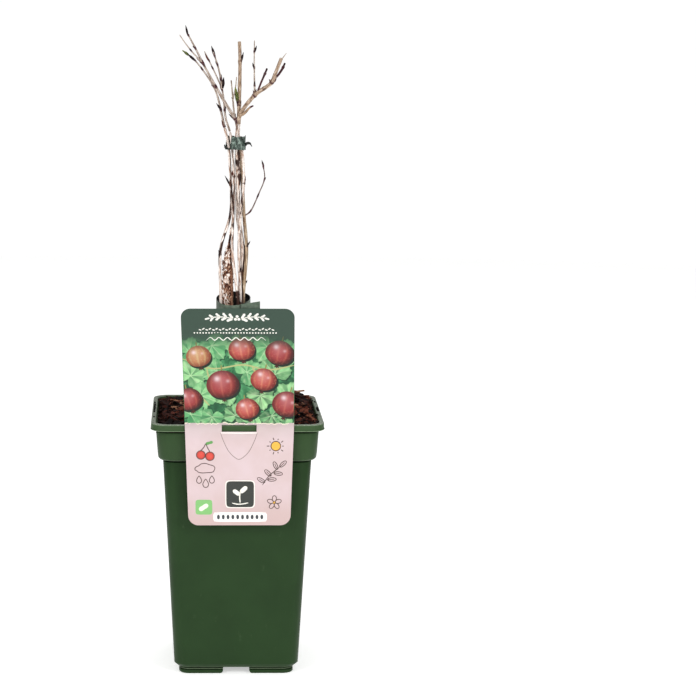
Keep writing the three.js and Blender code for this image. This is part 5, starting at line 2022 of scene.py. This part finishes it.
def draw_sprig(sheet, centre, line):
    """A leafy sprig in outline."""
    stalk = [(centre[0] + x, centre[1] + y) for x, y in ((-7, -8), (-2, -1), (6, 6))]
    sheet.stroke(stalk, 0.7, line, 0.5, 16)
    for share, turn in ((0.15, 2.6), (0.3, 0.05), (0.5, 2.35), (0.66, -0.1), (0.86, 2.0), (1.0, 0.75)):
        foot = (lerp(stalk[0][0], stalk[2][0], share), lerp(stalk[0][1], stalk[2][1], share))
        sheet.ring(beside(foot, turn, 3.3), 3.2, 0.62, line, 0.42, turn)
        sheet.stroke([foot, beside(foot, turn, 5)], 0.52, line, 0.6, 6)


def draw_flower(sheet, centre, line):
    """A five-petalled flower in outline."""
    for step in range(5):
        turn = step / 5 * math.tau + 0.3
        sheet.ring(beside(centre, turn, 3.1), 2.3, 0.62, line, 0.66, turn)
    sheet.disc(centre, 1.1, colour(YELLOW), 16, 1)


def draw_patches(sheet, line):
    """A dark patch with a seedling, a green one with a bare leaf, a flower and a strip of seeds."""
    base, pale = sheet.level, colour("f4f1e6")
    sheet.patch((0.5, 24), 22.0, 21.4, 9, colour("f6efe6"))
    sheet.patch((0.5, 24), 20.6, 20.0, 9, colour("1d231c"))
    sheet.stroke([(0.5, 17.5), (0.2, 22), (0.8, 26.5)], 0.9, pale, 0.6, 12)
    sheet.leaflet((0.6, 25.2), 6.8, 0.75, pale, 0.5)
    sheet.leaflet((0.4, 23.4), 6.4, 2.5, pale, 0.5)
    sheet.stroke([(-5.5, 17.2), (-2, 16.4), (3, 16.6), (6.5, 17.4)], 0.8, pale, 0.5, 16)
    sheet.level = base
    sheet.patch((-26.5, 14), 12.5, 11.5, 7, colour("7fbd6e"))
    sheet.leaflet((-30.0, 11.6), 8.0, 0.6, colour("e9f6dc"), 0.42)
    sheet.level = base
    draw_flower(sheet, (26.0, 17.5), line)
    sheet.patch((0.5, 6.4), 40, 7.4, 12, colour("fbf8f4"))
    for step in range(10):
        sheet.leaflet((-15.7 + step * 3.6, 4.6), 3.6, math.pi / 2, colour("2c3138"), 0.6)
    sheet.level = base


def draw_flap(sheet):
    """The tongue under the slot: its cut outline painted dark as shade, and its upper edge painted bright as
    a highlight.
    """
    top = card_distance(SLOT["low"]) - 0.9
    middle = lerp(*CARD_CENTRES, top / CARD_LENGTH)
    left, right = SLOT["left"] - middle - 0.9, SLOT["right"] - middle + 0.5
    point = (left + right) / 2
    falls = ((0, 0), (2.1, -6), (6.4, -14.5), (point - left - 2.4, -19.2))
    outline = [(left + x, top + y) for x, y in falls] + [(point, top - 20.2)]
    outline += [(right - x, top + y) for x, y in reversed(falls)]
    # Painted shade along the tongue's cut.
    sheet.stroke(outline, 0.5, colour("8b7772"), 0.8, 60)
    # Painted highlight along the tongue's upper edge.
    edge = [(left + 0.4, top + 0.1), (point, top), (right - 0.4, top + 0.1)]
    sheet.stroke(edge, 0.7, colour("fffaf4"), 0.9, 20)


def make_drawings(cream):
    """The label's ornament, and the plain line drawings on its lower panel."""
    sheet, brown = Print(2, 1.0), colour("4a2f28")
    draw_garland(sheet, CARD_LENGTH - 8.2, cream)
    draw_rows(sheet, CARD_LENGTH - 17, cream)
    draw_sun(sheet, (27.0, 61), 3.6, brown)
    draw_currants(sheet, (-25, 57), brown)
    draw_shower(sheet, (-25.5, 37), brown)
    draw_sprig(sheet, (24, 39), brown)
    draw_patches(sheet, brown)
    draw_flap(sheet)
    return sheet.finished("label_drawings")


def make_print(settings):
    """Everything that is printed on the card, with the tongue's painted cut shade and highlight, in one ink.
    """
    ink, cream = ink_finish(), colour("fbf9f0")
    for mesh in (make_picture(settings, cream), make_drawings(cream)):
        new_piece(mesh, ink, sharp=30)


# The strap's loose end in front: its width and height, how far right of the loop's middle, and its foot.
END_WIDTH, END_TALL = 14.6, 6.0
END_RIGHT = 12.9
END_FOOT = 276.2


def make_strap():
    """The label's strap: a printed loop round the stems, its inside painted near black as shade, with its
    loose end in front.
    """
    bm = bmesh.new()
    for vert in slab(bm, math.tau, 1.0, STRAP_THICK, 110, 8):
        angle = vert.co.x - math.pi / 2
        high = LOOP_BACK - LOOP_DROP * (1 - math.sin(angle)) + 0.45 * math.cos(angle)
        reach = LOOP_RADIUS - 0.15 + vert.co.z + 0.25 * math.sin(3 * angle + 0.6)
        z = high - LOOP_TALL * (1 - vert.co.y)
        vert.co = Vector((LOOP_CENTRE_X + reach * math.cos(angle), reach * math.sin(angle), z))
    closed_up(bm, 1e-3)
    for vert in slab(bm, END_WIDTH, END_TALL, STRAP_THICK, 20, 3):
        x, y, z = vert.co
        slant = 0.13 * x + 0.3 * smooth(0, END_TALL, y) * x / 7
        front = -LOOP_RADIUS - 0.1 - z * 0.6 - 0.02 * x
        vert.co = Vector((LOOP_CENTRE_X + END_RIGHT + x, front, END_FOOT + y + slant))
    new_piece(mesh_from("label_strap", bm), strap_finish(), ["label_loop"], 35)


# ------------------------------------------------------------------ stage

FLOOR_RADIUS = 3.0  # in metres, as the lights' places and sizes are
SENSOR_WIDTH = 36
CAMERA = {
    "place": (-33.85, -1499.62, 475.5),
    "forward": (0.02263, 0.98818, -0.15161),
    "roll": 0.0046,
    "focal": 102.09,
    "shift": 0.1595,
}


def make_floor(settings):
    bm = bmesh.new()
    bmesh.ops.create_circle(bm, cap_ends=True, segments=96, radius=FLOOR_RADIUS)
    mesh = bpy.data.meshes.new("floor")
    bm.to_mesh(mesh)
    bm.free()
    shade_smooth(mesh)
    mesh.materials.append(floor_finish(settings))
    floor = placed("floor", mesh)


def make_world(settings):
    """Even light that changes towards the sides and upwards, and a plain backdrop for the camera."""
    world = bpy.data.worlds.new("studio")
    world.use_nodes = True
    nodes, link = world.node_tree.nodes, world.node_tree.links.new
    split = nodes.new("ShaderNodeSeparateXYZ")
    link(nodes.new("ShaderNodeTexCoord").outputs["Generated"], split.inputs[0])

    def shaded(axis, low, high, start, share):
        """Even light that goes from a start to a share of it as the direction turns to an axis."""
        size = nodes.new("ShaderNodeMath")
        size.operation = "ABSOLUTE"
        link(split.outputs[axis], size.inputs[0])
        fall = nodes.new("ShaderNodeMapRange")
        fall.interpolation_type = "SMOOTHSTEP"
        for index, value in ((1, low), (2, high), (3, start), (4, start * share)):
            fall.inputs[index].default_value = value
        link(size.outputs[0], fall.inputs[0])
        return fall.outputs[0]

    strength = nodes.new("ShaderNodeMath")
    strength.operation = "MULTIPLY"
    link(shaded("X", 0.4, 0.85, settings.ambient, settings.flags), strength.inputs[0])
    link(shaded("Z", 0.3, 0.7, 1.0, settings.overhead), strength.inputs[1])
    seen = nodes.new("ShaderNodeMix")
    link(nodes.new("ShaderNodeLightPath").outputs["Is Camera Ray"], seen.inputs[0])
    link(strength.outputs[0], seen.inputs[2])
    seen.inputs[3].default_value = settings.backdrop
    background = nodes["Background"]
    background.inputs["Color"].default_value = (1.0, 1.0, 1.0, 1.0)
    link(seen.outputs[0], background.inputs["Strength"])
    bpy.context.scene.world = world


def make_lights(settings):
    for name, place, aim, size, power in (
        ("key", (-1.15, -1.3, 1.1), (0, 0, 0.22), 0.8, settings.key_power),
        ("fill", (1.15, -1.3, 1.0), (0, 0, 0.22), 0.8, settings.fill_power),
        ("back", (0.3, 1.5, 1.6), (0, 0, 0.3), 1.2, settings.back_power),
    ):
        light = bpy.data.lights.new(name, "AREA")
        light.shape = "DISK"
        light.size = size
        light.energy = power
        facing = (Vector(aim) - Vector(place)).to_track_quat("-Z", "Y")
        placed(name, light).matrix_world = Matrix.Translation(place) @ facing.to_matrix().to_4x4()


def make_camera():
    forward = Vector(CAMERA["forward"]).normalized()
    right = forward.cross(Vector((0, 0, 1))).normalized()
    up = right.cross(forward)
    cosine, sine = math.cos(CAMERA["roll"]), math.sin(CAMERA["roll"])
    axes = Matrix((right * cosine + up * sine, up * cosine - right * sine, -forward)).transposed()
    lens = bpy.data.cameras.new("camera")
    lens.lens = CAMERA["focal"]
    lens.sensor_width = SENSOR_WIDTH
    lens.shift_x = CAMERA["shift"]
    lens.clip_start = 0.05
    camera = placed("camera", lens)
    camera.matrix_world = Matrix.Translation(Vector(CAMERA["place"]) * MM) @ axes.to_4x4()
    bpy.context.scene.camera = camera


def make_stage(settings):
    """A pale seamless floor, soft lights and the camera."""
    view = bpy.context.scene.view_settings
    view.view_transform = "Standard"
    view.look = "None"
    make_floor(settings)
    make_world(settings)
    make_lights(settings)
    make_camera()


# ------------------------------------------------------------------ settings, operators and panel


def tint_property(label, words, code):
    return bpy.props.FloatVectorProperty(
        name=label, description=words, default=colour(code)[:3], subtype="COLOR", size=3, min=0.0, max=1.0
    )


def number(label, words, default, **limits):
    return bpy.props.FloatProperty(name=label, description=words, default=default, **limits)


def whole_number(label, words, default):
    return bpy.props.IntProperty(name=label, description=words, default=default, min=0)


class BushSettings(bpy.types.PropertyGroup):
    pot_colour: tint_property("Pot", "Colour of the pot's plastic", "243d1e")
    pot_roughness: number(
        "Pot roughness", "How dull the pot's plastic is", 0.38, min=0, max=1, subtype="FACTOR"
    )
    chips: whole_number("Chips", "Bark chips on the compost", 1000)
    splinters: whole_number("Splinters", "Long splinters on the compost", 330)
    crumbs: whole_number("Crumbs", "Small crumbs on the compost", 2400)
    seed: bpy.props.IntProperty(name="Seed", description="Scatter of the chips", default=12)
    flakes: whole_number("Bark flakes", "Loose flakes on the old stump", 760)
    stem_colour: tint_property("Stems", "Colour of the pale stems", "e6d6ca")
    twig_colour: tint_property("Twigs", "Colour of the crown's twigs", "8d7866")
    relief: number("Bark relief", "Depth of the ridges as a share of the radius", 0.1, min=0, max=0.4)
    bud_length: number("Bud length", "Length of the side buds against their usual one", 1.0, min=0.5, max=1.5)
    header_colour: tint_property("Label header", "Colour of the label's upper band", "364c3f")


class StageSettings(bpy.types.PropertyGroup):
    floor_colour: tint_property("Floor", "Colour of the floor", "f7f7f6")
    ambient: number("Ambient light", "Strength of the even light", 0.46, min=0)
    backdrop: number("Backdrop", "Brightness of the wall behind", 1.02, min=0)
    flags: number("Side flags", "Share of the even light left at the sides", 0.45, min=0, max=1)
    overhead: number("Overhead", "Share of the even light left above", 1.4, min=0, max=3)
    glow: number("Floor glow", "Light the pale floor gives off", 0.5, min=0)
    key_power: number("Key light", "Power of the main light", 13.0, unit="POWER")
    fill_power: number("Fill light", "Power of the side light", 11.5, unit="POWER")
    back_power: number("Back light", "Power of the light behind", 4.0, unit="POWER")


class BuildPot(bpy.types.Operator):
    """Build the nursery pot"""

    bl_idname = "bush.build_pot"
    bl_label = "Pot"

    def execute(self, context):
        make_pot(context.scene.bush)
        return {"FINISHED"}


class BuildCompost(bpy.types.Operator):
    """Build the compost and its bark chips"""

    bl_idname = "bush.build_compost"
    bl_label = "Compost"

    def execute(self, context):
        make_compost(context.scene.bush)
        return {"FINISHED"}


class BuildStump(bpy.types.Operator):
    """Build the old stump with its flaking bark"""

    bl_idname = "bush.build_stump"
    bl_label = "Old stump"

    def execute(self, context):
        make_stump()
        make_flakes(context.scene.bush)
        return {"FINISHED"}


class BuildStems(bpy.types.Operator):
    """Build the five upright stems"""

    bl_idname = "bush.build_stems"
    bl_label = "Stems"

    def execute(self, context):
        make_stems(context.scene.bush)
        return {"FINISHED"}


class BuildCrown(bpy.types.Operator):
    """Build the boughs and the bare twigs"""

    bl_idname = "bush.build_crown"
    bl_label = "Boughs and twigs"

    def execute(self, context):
        make_boughs(context.scene.bush)
        make_twigs(context.scene.bush)
        return {"FINISHED"}


class BuildBuds(bpy.types.Operator):
    """Build every bud"""

    bl_idname = "bush.build_buds"
    bl_label = "Buds"

    def execute(self, context):
        make_buds(context.scene.bush)
        make_spur(context.scene.bush)
        return {"FINISHED"}


class BuildTie(bpy.types.Operator):
    """Build the tape that ties the stems"""

    bl_idname = "bush.build_tie"
    bl_label = "Tie"

    def execute(self, context):
        make_tie()
        return {"FINISHED"}


class BuildLabel(bpy.types.Operator):
    """Build the hang label, its print and its strap"""

    bl_idname = "bush.build_label"
    bl_label = "Label"

    def execute(self, context):
        make_card(context.scene.bush)
        make_print(context.scene.bush)
        make_strap()
        return {"FINISHED"}


class BuildStage(bpy.types.Operator):
    """Build the floor, the lights and the camera"""

    bl_idname = "bush.build_stage"
    bl_label = "Stage"

    def execute(self, context):
        make_stage(context.scene.bush_stage)
        return {"FINISHED"}


OPERATORS = (
    BuildStage,
    BuildPot,
    BuildCompost,
    BuildStump,
    BuildStems,
    BuildCrown,
    BuildBuds,
    BuildTie,
    BuildLabel,
)


class BushPanel(bpy.types.Panel):
    """Builds the bush piece by piece"""

    bl_idname = "VIEW3D_PT_bush"
    bl_label = "Gooseberry bush"
    bl_space_type = "VIEW_3D"
    bl_region_type = "UI"
    bl_category = "Bush"

    def draw(self, context):
        for group in (context.scene.bush, context.scene.bush_stage):
            for key in group.bl_rna.properties.keys():
                if key not in ("rna_type", "name"):
                    self.layout.prop(group, key)
        for operator in OPERATORS:
            self.layout.operator(operator.bl_idname)


CLASSES = (BushSettings, StageSettings, *OPERATORS, BushPanel)


def register():
    for item in CLASSES:
        bpy.utils.register_class(item)
    bpy.types.Scene.bush = bpy.props.PointerProperty(type=BushSettings)
    bpy.types.Scene.bush_stage = bpy.props.PointerProperty(type=StageSettings)


def unregister():
    del bpy.types.Scene.bush
    del bpy.types.Scene.bush_stage
    for item in reversed(CLASSES):
        bpy.utils.unregister_class(item)


def main():
    register()
    bpy.ops.bush.build_stage()
    bpy.ops.bush.build_pot()
    bpy.ops.bush.build_compost()
    bpy.ops.bush.build_stump()
    bpy.ops.bush.build_stems()
    bpy.ops.bush.build_crown()
    bpy.ops.bush.build_buds()
    bpy.ops.bush.build_tie()
    bpy.ops.bush.build_label()


if __name__ == "__main__":
    main()
